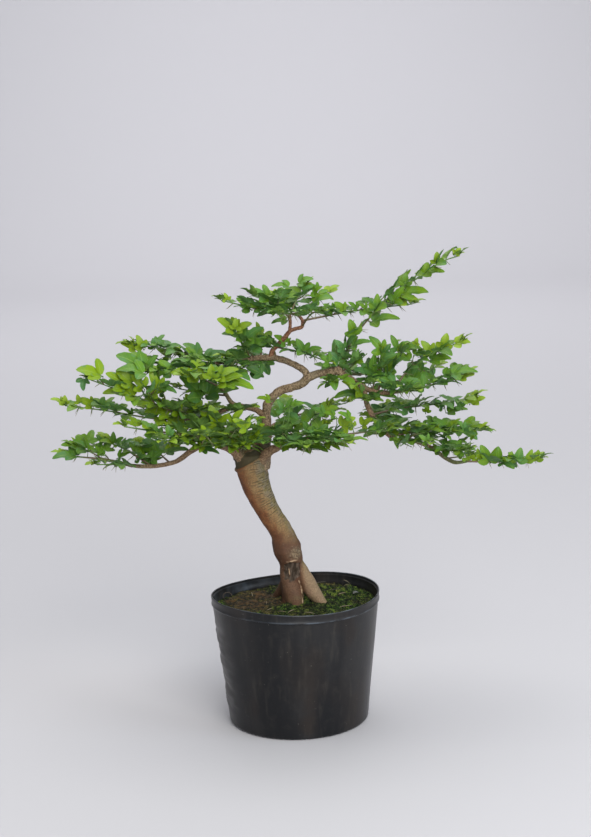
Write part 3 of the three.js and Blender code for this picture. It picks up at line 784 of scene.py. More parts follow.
@dataclass(frozen=True)
class LeafGreen:
    """Glossy citrus leaf: deep green to olive, yellow green while young, paler and bluer underneath,
    with patches of painted blue-green sky reflection.

    It reads tone, youth and under from the mesh, and the veins follow the leaflet's own map, which runs
    from 0 to 1 along the midrib and from -1 to 1 across.
    """

    deep: Colour = (0.048, 0.135, 0.034)
    green: Colour = (0.106, 0.236, 0.018)
    olive: Colour = (0.182, 0.292, 0.008)
    # painted reflection: the blue green of sky sheen on a glossy leaf
    painted_sky_sheen: Colour = (0.078, 0.220, 0.090)
    young: Colour = (0.282, 0.415, 0.036)
    under: Colour = (0.095, 0.215, 0.085)
    vein: Colour = (0.280, 0.405, 0.085)
    lit_through: Colour = (0.182, 0.355, 0.023)
    thinness: float = 0.24
    side_veins: float = 7.0

    def material(self) -> bpy.types.Material:
        """Builds the material.

        Returns:
            The material.
        """
        s = Shader("leaf_green")
        place = s.node("ShaderNodeUVMap", {"uv_map": "surface"}, {}, "UV")
        u = s.node("ShaderNodeSeparateXYZ", {}, {0: place}, "X")
        v = s.node("ShaderNodeSeparateXYZ", {}, {0: place}, "Y")
        across = abs(v)
        tone = s.number("tone") + (s.noise(9.0, 3.0) - 0.5) * 0.35
        under = s.number("under")
        colour = s.ramp(tone, (0.08, self.deep), (0.48, self.green), (0.92, self.olive))
        # painted reflection: patches of blue-green sky sheen, mostly on the deeper-toned leaves
        patch = s.noise(26.0, 2.0).step(0.48, 0.62) * (1.0 - tone.step(0.45, 0.85) * 0.75)
        colour = s.blend(patch * 0.50, colour, self.painted_sky_sheen)
        colour = s.blend(s.number("youth"), colour, self.young)
        colour = s.blend(under * 0.62, colour, self.under)
        midrib = across.step(0.085, 0.02)
        side = ((u * self.side_veins - across * 1.6) * FULL_TURN).wave().step(0.86, 0.99)
        side = side * across.step(0.95, 0.70)
        colour = s.blend(midrib * 0.55 + side * 0.16, colour, self.vein)
        colour = s.blend(across.step(0.80, 1.0) * 0.25, colour, self.olive)
        colour = s.blend(s.cells(1.7).step(0.16, 0.05) * 0.18, colour, self.young)
        height = (1.0 - across.step(0.12, 0.0)) * 0.22 - side * 0.10 + s.noise(1.6, 2.0) * 0.10
        normal = s.bump(height, 0.55)
        roughness = s.noise(6.0) * 0.14 + under * 0.16 + 0.30
        gloss = s.surface(colour, roughness, normal, specular=0.20)
        light = {"Color": (*self.lit_through, 1.0), "Normal": normal}
        glow = s.node("ShaderNodeBsdfTranslucent", {}, light)
        return s.finished(s.node("ShaderNodeMixShader", {}, {0: self.thinness, 1: gloss, 2: glow}))


@dataclass(frozen=True)
class StemGreen:
    """The skin of a shoot: green at its tip, olive brown at its foot, with brown tips to its spines."""

    green: Colour = (0.075, 0.150, 0.028)
    brown: Colour = (0.105, 0.070, 0.035)
    spine: Colour = (0.160, 0.185, 0.075)
    spine_tip: Colour = (0.20, 0.11, 0.05)

    def material(self) -> bpy.types.Material:
        """Builds the material.

        Returns:
            The material.
        """
        s = Shader("stem_green")
        grain = s.noise(2.2, 3.0, s.stretched((1.0, 1.0, 0.5)))
        aged = (s.number("age") + (grain - 0.5) * 0.6).step(0.30, 0.85)
        colour = s.blend(aged, self.green, self.brown)
        spine = s.blend(s.number("tip").step(0.55, 1.0), self.spine, self.spine_tip)
        colour = s.blend(s.number("spine"), colour, spine)
        return s.finished(s.surface(colour, grain * 0.2 + 0.42, s.bump(grain * 0.25, 0.5)))


@dataclass(frozen=True)
class DryLitter:
    """Straw, dry leaf and twig: faded browns and greys, by the number kind."""

    straw: Colour = (0.19, 0.16, 0.095)
    grey: Colour = (0.085, 0.100, 0.095)
    twig: Colour = (0.028, 0.022, 0.017)
    fibre: Colour = (0.09, 0.06, 0.03)

    def material(self) -> bpy.types.Material:
        """Builds the material.

        Returns:
            The material.
        """
        s = Shader("dry_litter")
        fibre = s.noise(1.6, 3.0)
        colour = s.ramp(s.number("kind"), (0.0, self.straw), (0.5, self.grey), (1.0, self.twig))
        colour = s.blend(fibre.step(0.65, 0.35) * 0.4, colour, self.fibre)
        return s.finished(s.surface(colour, fibre * 0.2 + 0.65, s.bump(fibre * 0.4, 0.6)))


@dataclass(frozen=True)
class StudioPaper:
    """The plain pale paper of the floor and the backdrop."""

    pale: Colour = (0.455, 0.452, 0.475)

    def material(self) -> bpy.types.Material:
        """Builds the material."""
        s = Shader("studio_paper")
        tooth = s.noise(1.5, 2.0)
        normal = s.bump(tooth * 0.05, 0.2)
        return s.finished(s.surface(self.pale, tooth * 0.04 + 0.93, normal, specular=0.1))


# Pot, soil and moss


@dataclass
class NurseryPot:
    """The round, tapered pot of soft plastic, pressed a little out of round."""

    height: float = 163.0
    rim_radius: float = 105.0
    base_radius: float = 87.5
    wall: float = 1.8
    floor: float = 2.0
    edge: float = 5.0
    collar_height: float = 10.5
    collar_step: float = 1.5
    hub_radius: float = 36.0
    foot_radius: float = 72.0
    channel_rise: float = 3.5
    channel_slope: float = 3.0
    drains: int = 6
    drain_radius: float = 5.0
    oval: float = 0.012
    oval_angle: float = math.radians(30.0)
    rim_saddle: float = 2.8
    rim_tilt: float = 2.4
    wave_depths: tuple[float, float] = (0.45, 0.16)
    fold_depths: tuple[float, float] = (1.3, 1.2)
    fold_turn: float = 0.10
    fold_reach: float = 0.62
    crease_angle: float = math.radians(38.0)
    sides: int = 192
    drain_sides: int = 24

    @property
    def shoulder(self) -> float:
        """The height at which the wall meets the collar."""
        return self.height - self.collar_height

    def wall_radius(self, z: Any) -> Any:
        """The outer radius of the tapered wall at a height."""
        spread = self.rim_radius - self.collar_step - self.base_radius
        return self.base_radius + spread * z / self.shoulder

    def pressed(self, points: Array) -> Array:
        """The points after the wall gives: cos 2a makes the circle an oval and the rim a saddle.

        Args:
            points: (n, 3) places on the round pot.

        Returns:
            The places on the pressed one.
        """
        up = points[:, 2] / self.height
        angle = np.arctan2(points[:, 1], points[:, 0])
        across = np.cos(2.0 * (angle - self.oval_angle))
        reach = (np.hypot(points[:, 0], points[:, 1]) / self.rim_radius) ** 2
        lift = reach * up ** 4 * (self.rim_saddle * across - self.rim_tilt * np.sin(angle))
        give = 1.0 + self.oval * up * across
        return np.stack([points[:, 0] * give, points[:, 1] * give, points[:, 2] + lift], axis=1)

    def profile(self) -> Array:
        """The wall's section, from the middle of the underside over the rim to the middle of the floor.

        Each row is a radius and a height. The bottom edge and the rim are arcs, and the small numbers
        round the other corners.

        Returns:
            (n, 2) radii and heights.
        """
        shoulder, top, rim = self.shoulder, self.height, self.rim_radius
        hub, foot, rise, floor = self.hub_radius, self.foot_radius, self.channel_rise, self.floor
        inner, outer = hub + self.channel_slope, foot - self.channel_slope
        under = np.array([
            (0.0, 0.0), (hub - 0.6, 0.0), (hub, 0.4), (inner, rise), (outer, rise),
            (foot, 0.4), (foot + 0.8, 0.0)])
        turn = np.linspace(-np.pi / 2, -0.12, 7)
        middle = self.wall_radius(self.edge) - self.edge
        edge = np.stack(
            [middle + self.edge * np.cos(turn), self.edge + self.edge * np.sin(turn)], axis=1)
        heights = np.linspace(self.edge + 2.0, shoulder - 1.6, 62)
        wall = np.stack([self.wall_radius(heights), heights], axis=1)
        collar = np.array([
            (self.wall_radius(shoulder) + 0.15, shoulder - 0.7), (rim - 0.55, shoulder - 0.35),
            (rim - 0.10, shoulder + 0.25), (rim - 0.05, shoulder + 0.95), (rim - 0.45, shoulder + 1.7),
            (rim - 0.50, shoulder + 4.5), (rim - 0.35, top - 2.6), (rim - 0.02, top - 1.4)])
        bend, half = np.linspace(0.0, np.pi, 7), self.wall / 2
        bead = np.stack([rim - half + half * np.cos(bend), top - half + half * np.sin(bend)], axis=1)
        lip_radius = rim - self.wall
        lip = np.array([
            (lip_radius + 0.15, top - 3.0), (lip_radius - 0.75, top - 4.0),
            (lip_radius - 0.75, shoulder + 1.0)])
        heights = np.linspace(shoulder - 1.0, self.edge + 1.0, 30)
        inside = np.stack([self.wall_radius(heights) - self.wall, heights], axis=1)
        bottom = np.array([
            (foot + 0.5, floor), (outer + 0.5, rise + floor),
            (inner - 0.5, rise + floor), (hub - 0.5, floor),
            (0.0, floor)])
        return np.vstack([under, edge, wall, collar, bead, lip, inside, bottom])

    def dented(self, points: Array) -> Array:
        """Soft waves all round, and creases in the wall at the left where the plastic has buckled.

        A wave of noise moves each point outwards; the creases are a faster one, which fades out at the
        rim and at the bottom edge.

        Args:
            points: (n, 3) places on the smooth pot.

        Returns:
            The places on the dented one.
        """
        angle = np.arctan2(points[:, 1], points[:, 0])
        z = points[:, 2]
        radius = np.hypot(points[:, 0], points[:, 1])
        onto = np.stack([np.cos(angle) * 95.0, np.sin(angle) * 95.0, z], axis=1)
        middle = smooth(z, 6.0, 40.0) * smooth(z, 160.0, 135.0)
        away = np.abs(np.angle(np.exp(1j * (angle - np.pi - self.fold_turn))))
        buckled = smooth(away, self.fold_reach, 0.10)
        low = smooth(z, 14.0, 34.0) * smooth(z, 142.0, 118.0)
        wide, narrow = self.wave_depths
        move = middle * wide * noise(onto, 55.0, 3.0) + middle * narrow * noise(onto, 17.0, 4.0)
        wide, narrow = self.fold_depths
        folds = wide * noise(onto, (30.0, 30.0, 9.0), 5.0) + narrow * noise(onto, (16.0, 16.0, 4.2), 6.0)
        move += buckled * low * folds
        share = np.where(radius > self.foot_radius + 4.0, 1.0 + move / np.maximum(radius, 1.0), 1.0)
        return points * np.stack([share, share, np.ones(len(share))], axis=1)

    def painted_highlight(self, points: Array) -> Array:
        """Where a pale highlight is painted on the plastic: along the rim and the collar's edge, most at
        the right where the light falls, and as a painted reflection on the inner wall at the left.

        Args:
            points: (n, 3) places on the round pot.

        Returns:
            A value from 0 to 1 for each place.
        """
        x, z = points[:, 0], points[:, 2]
        radius = np.hypot(x, points[:, 1])
        edge = np.exp(-((z - self.height) / 0.5) ** 2)
        edge = edge + np.exp(-((z - self.height + self.collar_height - 0.5) / 0.7) ** 2)
        # the painted highlight is stronger towards the right, where the light falls
        edge = edge * (0.4 + 0.6 * smooth(x, -40.0, 15.0))
        inside = radius < self.wall_radius(np.minimum(z, self.shoulder)) - 0.5 * self.wall
        # inside the wall: a painted reflection at the left, above 120 mm
        return np.clip(np.where(inside, 0.34 * smooth(x, 20.0, -50.0) * (z > 120.0), edge), 0.0, 1.0)

    def round_pot(self) -> tuple[Array, Array]:
        """Turns the section about +Z.

        Returns:
            The points and the faces.
        """
        profile = self.profile()
        angle = circle(self.sides)
        ring = profile[1:-1]
        x, y = ring[:, :1] * np.cos(angle), ring[:, :1] * np.sin(angle)
        grid = np.stack([x, y, np.repeat(ring[:, 1:], self.sides, axis=1)], axis=-1)
        points = np.vstack([grid.reshape(-1, 3), [(0.0, 0.0, 0.0), (0.0, 0.0, self.floor)]])
        return points, capped_faces(len(ring), self.sides)

    def drill(self, pot: bpy.types.Object, number: int) -> None:
        """Cuts one drain hole through the floor.

        Args:
            pot: the pot.
            number: which of the holes.
        """
        middle = (self.hub_radius + self.foot_radius) / 2
        at = (number + 0.5) * 2 * np.pi / self.drains
        centre = np.array([middle * np.cos(at), middle * np.sin(at), 0.0])
        run = np.array([centre - 8 * UP, centre + 12 * UP])
        radii = np.full((2, self.drain_sides), self.drain_radius)
        cutter = tube(run, np.array([UP, UP]), radii, self.drain_sides).made("drain_cutter")
        cut = pot.modifiers.new("drain", "BOOLEAN")
        cut.operation = "DIFFERENCE"
        cut.object = cutter
        cut.solver = "EXACT"
        bake_modifiers(pot)
        bpy.data.objects.remove(cutter)

    def build(self) -> None:
        """Turns the section, dents and presses the pot, and cuts the drain holes."""
        points, faces = self.round_pot()
        # edge holds where the painted highlight and reflection go
        pot = Surface(self.pressed(self.dented(points)), faces, {"edge": self.painted_highlight(points)})
        pot = pot.made("nursery_pot_wall", [PotPlastic().material()])
        for number in range(self.drains):
            self.drill(pot, number)
        pot.data.set_sharp_from_angle(angle=self.crease_angle)
        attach(pot, "root")
        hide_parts("nursery_pot")


def bake_modifiers(made: bpy.types.Object) -> None:
    """Puts an object's modifiers into its mesh.

    Args:
        made: the object.
    """
    graph = bpy.context.evaluated_depsgraph_get()
    mesh = bpy.data.meshes.new_from_object(made.evaluated_get(graph))
    old = made.data
    made.modifiers.clear()
    made.data = mesh
    mesh.name = made.name
    bpy.data.meshes.remove(old)


@dataclass
class MossBed:
    """Moss over the soil: a mat in low cushions, and thousands of small sprigs on it."""

    pot: NurseryPot
    soil_top: float = 145.5
    gap: float = 0.3
    depth: float = 4.5
    room: float = 1.2
    mound_height: float = 5.0
    mound_radius: float = 38.0
    rim_drop: float = 2.6
    dead_drop: float = 1.4
    rings: int = 46
    sectors: int = 150
    sprigs: int = 15000

    @property
    def bottom(self) -> float:
        """The height of the mat's underside."""
        return self.soil_top + self.gap

    @property
    def radius(self) -> float:
        """The mat's radius."""
        return self.pot.wall_radius(self.bottom) - self.pot.wall - self.room

    def top(self, x: Array, y: Array) -> Array:
        """The mat's height: the model's two waves and its mound, with lumps, and thin where it is dead.

        Args:
            x: (n,) places to the right.
            y: (n,) places to the back.

        Returns:
            The height at each place.
        """
        r = np.hypot(x, y)
        z = self.bottom + self.depth + 1.5 * np.sin(x / 9 + 1) * np.cos(y / 8)
        z = z + 1.1 * np.sin((x - y) / 6.1)
        z = z + self.mound_height * np.exp(-((r / self.mound_radius) ** 2))
        z = z - self.rim_drop * smooth(r, self.radius - 7, self.radius)
        flat = flat_places(x, y)
        lumps = 1.2 * noise(flat, 8.5, 11.0) + 1.0 * noise(flat, 3.6, 12.0)
        life = self.life(x, y)
        return z + lumps * (0.45 + 0.55 * life) - self.dead_drop * (1.0 - life)

    def life(self, x: Array, y: Array) -> Array:
        """0 where the moss is brown and 1 where it is green: brown left of the trunk, and in spots.

        Args:
            x: (n,) places to the right.
            y: (n,) places to the back.

        Returns:
            The value at each place.
        """
        flat = flat_places(x, y)
        brown = smooth(np.hypot((x + 50) / 44, (y - 4) / 56), 1.20, 0.60)
        shade = smooth(y, 20.0, 75.0) * 0.35
        edge = smooth(np.hypot(x, y), self.radius - 16, self.radius - 2) * smooth(x, 40.0, -40.0) * 0.5
        value = 0.92 - 0.92 * brown - shade + edge * smooth(y, 10.0, -30.0)
        value = value + 0.36 * noise(flat, 15.0, 13.0) + 0.25 * noise(flat, 5.0, 14.0)
        return np.clip(value, 0.0, 1.0)

    def glow(self, x: Array, y: Array) -> Array:
        """1 where the moss is yellow green: along the wall in front, and behind the right root.

        Args:
            x: (n,) places to the right.
            y: (n,) places to the back.

        Returns:
            The value at each place.
        """
        front = smooth(np.hypot(x, y), self.radius - 18, self.radius - 5)
        front = front * smooth(y, -30.0, -55.0) * smooth(x, 45.0, 10.0)
        behind = smooth(np.hypot((x - 48) / 22, (y - 34) / 24), 1.2, 0.4)
        patches = 0.7 + 1.2 * noise(flat_places(x, y), 9.0, 16.0)
        return np.clip((front + 0.5 * behind) * patches, 0.0, 1.0)

    def mat(self) -> Surface:
        """The mat as a closed disc whose upper face follows top().

        Returns:
            The disc.
        """
        share = np.sqrt(np.linspace(0.0, 1.0, self.rings + 1))[1:]
        angle = circle(self.sectors)
        x = (self.radius * share[:, None] * np.cos(angle)).ravel()
        y = (self.radius * share[:, None] * np.sin(angle)).ravel()
        centre = self.top(np.zeros(1), np.zeros(1))[0]
        rim = np.stack(
            [x[-self.sectors:], y[-self.sectors:], np.full(self.sectors, self.bottom)], axis=1)
        upper = np.stack([x, y, self.top(x, y)], axis=1)
        points = np.vstack([upper, rim, [(0, 0, centre), (0, 0, self.bottom)]])
        count = (self.rings + 1) * self.sectors
        faces = np.concatenate([
            sheet_faces(self.rings + 1, self.sectors, True)[:, ::-1],
            fan_faces(np.arange(self.sectors), count, True),
            fan_faces(np.arange(count - self.sectors, count), count + 1, False)])
        x, y = points[:, 0], points[:, 1]
        shade = 0.5 + 0.5 * noise(points, 4.0, 15.0)
        return Surface(points, faces, {"life": self.life(x, y), "glow": self.glow(x, y), "shade": shade})

    def sprig_set(self) -> Surface:
        """Slim three-sided sprigs that stand on the mat and lean at random.

        Returns:
            All the sprigs as one surface.
        """
        number = np.arange(self.sprigs * 1.0)
        r = self.radius * np.sqrt(draw(number, 1.0)) * 0.985
        angle = 2 * np.pi * draw(number, 2.0)
        x, y = r * np.cos(angle), r * np.sin(angle)
        life = self.life(x, y)
        keep = draw(number, 3.0) < 0.30 + 0.70 * life
        number, x, y, life = number[keep], x[keep], y[keep], life[keep]
        foot = np.stack([x, y, self.top(x, y) - 0.8], axis=1)
        lean = 2 * np.pi * draw(number, 4.0)
        tilt = 0.15 + 0.75 * draw(number, 5.0) + 0.5 * (1 - life)
        out = np.stack([np.cos(lean) * np.sin(tilt), np.sin(lean) * np.sin(tilt), np.cos(tilt)], axis=1)
        tall = 1.7 + 2.6 * draw(number, 6.0) ** 1.5 * (0.4 + 0.6 * life)
        wide = 0.42 + 0.42 * draw(number, 7.0)
        across = unit(np.cross(out, flat_places(-np.sin(lean), np.cos(lean))))
        third = np.cross(out, across)
        turn = circle(3)[None, :, None]
        ring = np.cos(turn) * across[:, None] + np.sin(turn) * third[:, None]
        ring = foot[:, None] + wide[:, None, None] * ring
        points = np.concatenate([ring, (foot + out * tall[:, None])[:, None]], axis=1).reshape(-1, 3)
        start = 4 * np.arange(len(number))[:, None]
        corners = ([0, 1, 3], [1, 2, 3], [2, 0, 3], [2, 1, 0])
        faces = np.concatenate([start + three for three in corners])
        faces = np.pad(faces, ((0, 0), (0, 1)), constant_values=-1)
        shade = np.repeat(draw(number, 8.0)[:, None], 4, axis=1) * np.array([0.55, 0.55, 0.55, 1.0])
        values = {
            "life": np.repeat(life, 4), "glow": np.repeat(self.glow(x, y), 4), "shade": shade.ravel()}
        return Surface(points, faces, values, looks=np.ones(len(faces), int))

    def build(self) -> None:
        """Joins the mat and the sprigs, and presses them with the pot."""
        whole = Surface.join([self.mat(), self.sprig_set()])
        whole.points = self.pot.pressed(whole.points)
        finish = MossGreen()
        # the mat's copy of the material is darkened as painted shade; the tips' copy is not
        finishes = [finish.material("moss_mat_shaded", 0.45), finish.material("moss_tips", 1.0)]
        moss = whole.made("moss_bed", finishes)
        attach(moss, "root")
        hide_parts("moss")


@dataclass
class Litter:
    """What has fallen on the moss: dry blades, a small grey leaf and a loop of thin twig."""

    bed: MossBed
    blades: int = 22
    scatter_radius: float = 88.0
    wall_reach: float = 93.0
    trunk_reach: float = 26.0
    laid_blades: tuple[tuple[Point, Point, float, float, float], ...] = (
        ((62.0, 68.0, 157.0), (70.0, 62.0, 153.5), 0.6, 0.55, 0.15),
        ((60.0, 56.0, 151.5), (70.0, 50.0, 155.5), 1.0, 0.55, 0.1),
        ((24.0, 76.0, 152.0), (40.0, 72.0, 155.0), 0.8, 0.4, 0.3))
    kinds: tuple[float, ...] = (0.0, 0.0, 0.12, 0.9)

    def blade(self, foot: Point, tip: Point, sag: float, width: float, kind: float) -> Surface:
        """A dry blade: a flat tube along a bow from foot to tip.

        Args:
            foot: where it lies.
            tip: where it ends.
            sag: how far its middle drops or rises.
            width: its half width.
            kind: its colour, from 0 to 1.

        Returns:
            The blade.
        """
        share = np.linspace(0.0, 1.0, 12)
        start, end = np.array(foot), np.array(tip)
        points = start + (end - start) * share[:, None] + UP * (4 * sag * share * (1 - share))[:, None]
        turn = np.arange(6) * np.pi / 3
        flat = np.sqrt((width * np.cos(turn)) ** 2 + (0.22 * np.sin(turn)) ** 2)
        radii = (0.25 + 0.75 * np.sin(np.pi * share ** 0.8))[:, None] * flat[None, :]
        made = tube(points, path_directions(points), radii, 6)
        made.values["kind"] = np.full(len(made.points), kind)
        return made

    def loop(self, centre: Point, radius: float) -> Surface:
        """A loop of thin dark twig that lies against the pot's wall.

        Args:
            centre: its middle.
            radius: its size.

        Returns:
            The loop.
        """
        turn = np.linspace(0.0, 1.85 * np.pi, 26)
        flat = np.stack([np.cos(turn), 0.35 * np.sin(turn), 0.85 * np.sin(turn)], axis=1)
        points = np.array(centre) + radius * flat
        made = tube(points, path_directions(points), np.full(len(points), 0.55), 6)
        made.values["kind"] = np.ones(len(made.points))
        return made

    def leaf(self, centre: Point, reach: float, facing: float) -> Surface:
        """A small grey leaf: an ellipse of two faces, cupped along its middle.

        Args:
            centre: its middle.
            reach: its length.
            facing: the angle that it points to.

        Returns:
            The leaf.
        """
        rows, columns = 9, 5
        u, v = np.meshgrid(np.linspace(0.02, 0.98, rows), np.linspace(-1, 1, columns), indexing="ij")
        half = 0.42 * reach * np.sin(np.pi * u) ** 0.7
        x, y, z = reach * (u - 0.5), half * v, 0.30 * half * np.abs(v) + 1.2 * np.sin(3 * u)
        cosine, sine = math.cos(facing), math.sin(facing)
        turned = np.stack([x * cosine - y * sine, x * sine + y * cosine, z], axis=-1)
        top = (np.array(centre) + turned).reshape(-1, 3)
        points = np.vstack([top, top - 0.3 * UP])
        quads = sheet_faces(rows, columns)
        shape = np.arange(rows * columns).reshape(rows, columns)
        loop = np.concatenate([shape[0, :-1], shape[:-1, -1], shape[-1, :0:-1], shape[:0:-1, 0]])
        after = np.roll(loop, -1)
        wall = np.stack([loop, after, after + rows * columns, loop + rows * columns], axis=1)
        faces = np.concatenate([quads[:, ::-1], quads + rows * columns, wall])
        return Surface(points, faces, {"kind": np.full(len(points), 0.5)})

    def scattered(self) -> list[Surface]:
        """Blades at random places and angles, clear of the trunk and the wall.

        Returns:
            One surface for each blade.
        """
        parts = []
        for i in range(self.blades):
            angle, r = 2 * np.pi * draw(i, 21.0), self.scatter_radius * math.sqrt(draw(i, 22.0))
            x, y = r * math.cos(angle), r * math.sin(angle)
            if math.hypot(x, y) < self.trunk_reach:
                continue
            run, facing = 6 + 12 * draw(i, 23.0), 2 * np.pi * draw(i, 24.0)
            ends = np.array([[x, y], [x + run * math.cos(facing), y + run * math.sin(facing)]])
            ends *= np.minimum(1.0, self.wall_reach / np.hypot(ends[:, 0], ends[:, 1]))[:, None]
            z = self.bed.top(ends[:, 0], ends[:, 1]) + 1.3
            foot, tip = ((*ends[k], z[k]) for k in (0, 1))
            sag, width = 0.5 + draw(i, 25.0), 0.35 + 0.35 * draw(i, 26.0)
            parts.append(self.blade(foot, tip, sag, width, self.kinds[i % len(self.kinds)]))
        return parts

    def build(self) -> None:
        """Lays the pieces that the eye finds, and scatters the rest."""
        parts = [self.blade(*blade) for blade in self.laid_blades]
        parts += [self.loop((-86.0, 22.0, 154.5), 5.5), self.leaf((76.0, 18.0, 153.0), 9.0, 0.5)]
        whole = Surface.join(parts + self.scattered())
        whole.points = self.bed.pot.pressed(whole.points)
        litter = whole.made("moss_litter", [DryLitter().material()])
        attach(litter, "root")


# Wood


class Kind(Enum):
    """The bark that a limb carries."""

    TRUNK = 0
    ROOT = 1
    GNARLED = 2
    BRANCH = 3
    TWIG = 4


@dataclass(frozen=True)
class Limb:
    """One limb: its bark and a route of x, y, z and radius down its middle."""

    kind: Kind
    route: tuple[tuple[float, float, float, float], ...]


LIMBS = {
    "trunk": Limb(Kind.TRUNK, (
        (-3, -1, 124, 15), (-3, -1, 150, 14.5), (-4, 0, 180, 14), (-4, 0, 203, 15), (-8, 0, 220, 18.2),
        (-14, 0, 241, 14.2), (-26, 0, 262, 14.4), (-34, 0, 277, 15.4), (-40, 0, 291, 16.4),
        (-44.5, 0, 305, 17.6), (-47.5, 0, 319, 19), (-49.5, 0, 331, 20), (-50, 0, 343, 19.6))),
    "front_root": Limb(Kind.ROOT, (
        (-9, -1, 204, 8), (-8, -4, 184, 10.5), (-4, -7, 168, 12), (-1, -10, 156, 11.5),
        (1, -12, 146, 10), (3, -13, 135, 7))),
    "right_root": Limb(Kind.ROOT, (
        (0, 1, 208, 7.5), (8, -2, 190, 10), (16, -5, 176, 10.5), (22, -8, 165, 9.5), (29, -10, 156, 7.5),
        (38, -12, 147, 4.4), (45, -13, 140, 2.6))),
    "back_root": Limb(Kind.ROOT, (
        (-6, 6, 196, 9), (-13, 17, 168, 7.6), (-24, 31, 150, 5), (-34, 43, 138, 3))),
    "left_stub": Limb(Kind.GNARLED, ((-56, 0, 326, 13), (-61, 0, 342, 10.5), (-62, 1, 356, 9))),
    "leader": Limb(Kind.GNARLED, (
        (-38, 0, 326, 12.5), (-33, 0, 344, 9.6), (-30, 1, 362, 7.4), (-28, 3, 380, 6),
        (-28, 4, 393, 5.4), (-27, 4, 401, 5.2), (-22, 5, 408, 5.2), (-15, 5, 416, 5.3),
        (-5, 4, 421, 5.1), (6, 2, 424, 5), (16, 0, 428, 5), (24, -2, 435, 5.4), (36, -4, 440, 5),
        (48, -5, 441, 5), (60, -7, 444, 5), (69, -9, 437, 4.9), (80, -11, 430, 4.6),
        (88, -13, 425, 4.2))),
    "left_arm": Limb(Kind.GNARLED, (
        (24, -2, 434, 4.8), (21, 1, 443, 4.4), (12, 5, 449, 4.1), (2, 9, 454, 4), (-8, 13, 457, 4),
        (-18, 17, 459, 3.8), (-40, 24, 458, 3.4), (-68, 28, 455, 3), (-100, 26, 452, 2.6),
        (-130, 20, 450, 2.1))),
    "apex_twig": Limb(Kind.TWIG, (
        (-21, 18, 459, 3.4), (-17, 16, 469, 3), (-9, 13, 477, 2.9), (-2, 9, 485, 2.7), (5, 6, 493, 2.5),
        (12, 4, 496, 2.4), (19, 2, 498, 2.3), (20, 1, 506, 2.1), (14, 0, 514, 1.9))),
    "apex_fork": Limb(Kind.TWIG, ((4, 7, 491, 2.4), (5, 6, 502, 1.9), (5, 5, 513, 1.7))),
    "right_arm": Limb(Kind.BRANCH, (
        (84, -12, 428, 4), (96, -14, 421, 3.4), (112, -15, 416, 3), (131, -16, 417, 2.6),
        (150, -18, 420, 2.2))),
    "cascade": Limb(Kind.BRANCH, (
        (86, -12, 426, 4), (93, -14, 417, 3.5), (95, -17, 404, 3.2), (102, -18, 388, 3),
        (117, -15, 367, 2.9), (130, -12, 357, 2.9), (154, -8, 353, 2.8), (177, -5, 341, 2.7),
        (192, -3, 329, 2.5), (204, -1, 323, 2.4), (218, 0, 324, 2))),
    "centre_right": Limb(Kind.BRANCH, (
        (-40, -4, 330, 8), (-28, -15, 346, 5.4), (-8, -27, 358, 4.2), (16, -38, 364, 3.4),
        (42, -50, 369, 2.8), (66, -58, 374, 2.2))),
    "left_front": Limb(Kind.BRANCH, (
        (-55, -4, 332, 9), (-70, -16, 351, 5.8), (-92, -32, 364, 4.4), (-118, -46, 374, 3.4),
        (-145, -56, 383, 2.5))),
    "left_low": Limb(Kind.BRANCH, (
        (-56, 2, 336, 8), (-76, 4, 353, 5.2), (-98, 3, 358, 4.1), (-120, 0, 350, 3.5),
        (-141, 0, 336, 3.1), (-168, 0, 331, 2.8), (-194, 0, 332, 2.4), (-217, 0, 338, 2.1),
        (-238, 0, 343, 1.8))),
    "left_mid": Limb(Kind.BRANCH, (
        (-29, 3, 388, 4.6), (-40, 5, 396, 3.6), (-57, 6, 401, 3.3), (-69, 5, 405, 3.1),
        (-76, 3, 416, 2.6), (-83, 0, 428, 2.2))),
    "left_long": Limb(Kind.BRANCH, (
        (-66, 5, 404, 3), (-80, 2, 398, 2.9), (-98, -2, 392, 2.7), (-120, -5, 388, 2.4))),
    "back_right": Limb(Kind.BRANCH, (
        (40, -3, 440, 4), (52, 22, 437, 3.2), (70, 50, 431, 2.7), (92, 74, 425, 2.1))),
    "back_left": Limb(Kind.BRANCH, ((-20, 18, 459, 3.4), (-34, 44, 451, 2.7), (-50, 68, 445, 2.1))),
    "back_low": Limb(Kind.BRANCH, (
        (-47, 5, 332, 8), (-39, 24, 352, 5.2), (-20, 50, 366, 3.8), (10, 76, 375, 2.6))),
    "back_low_left": Limb(Kind.BRANCH, (
        (-53, 6, 334, 8), (-74, 32, 356, 4.8), (-104, 56, 368, 3.4), (-134, 72, 376, 2.4))),
}


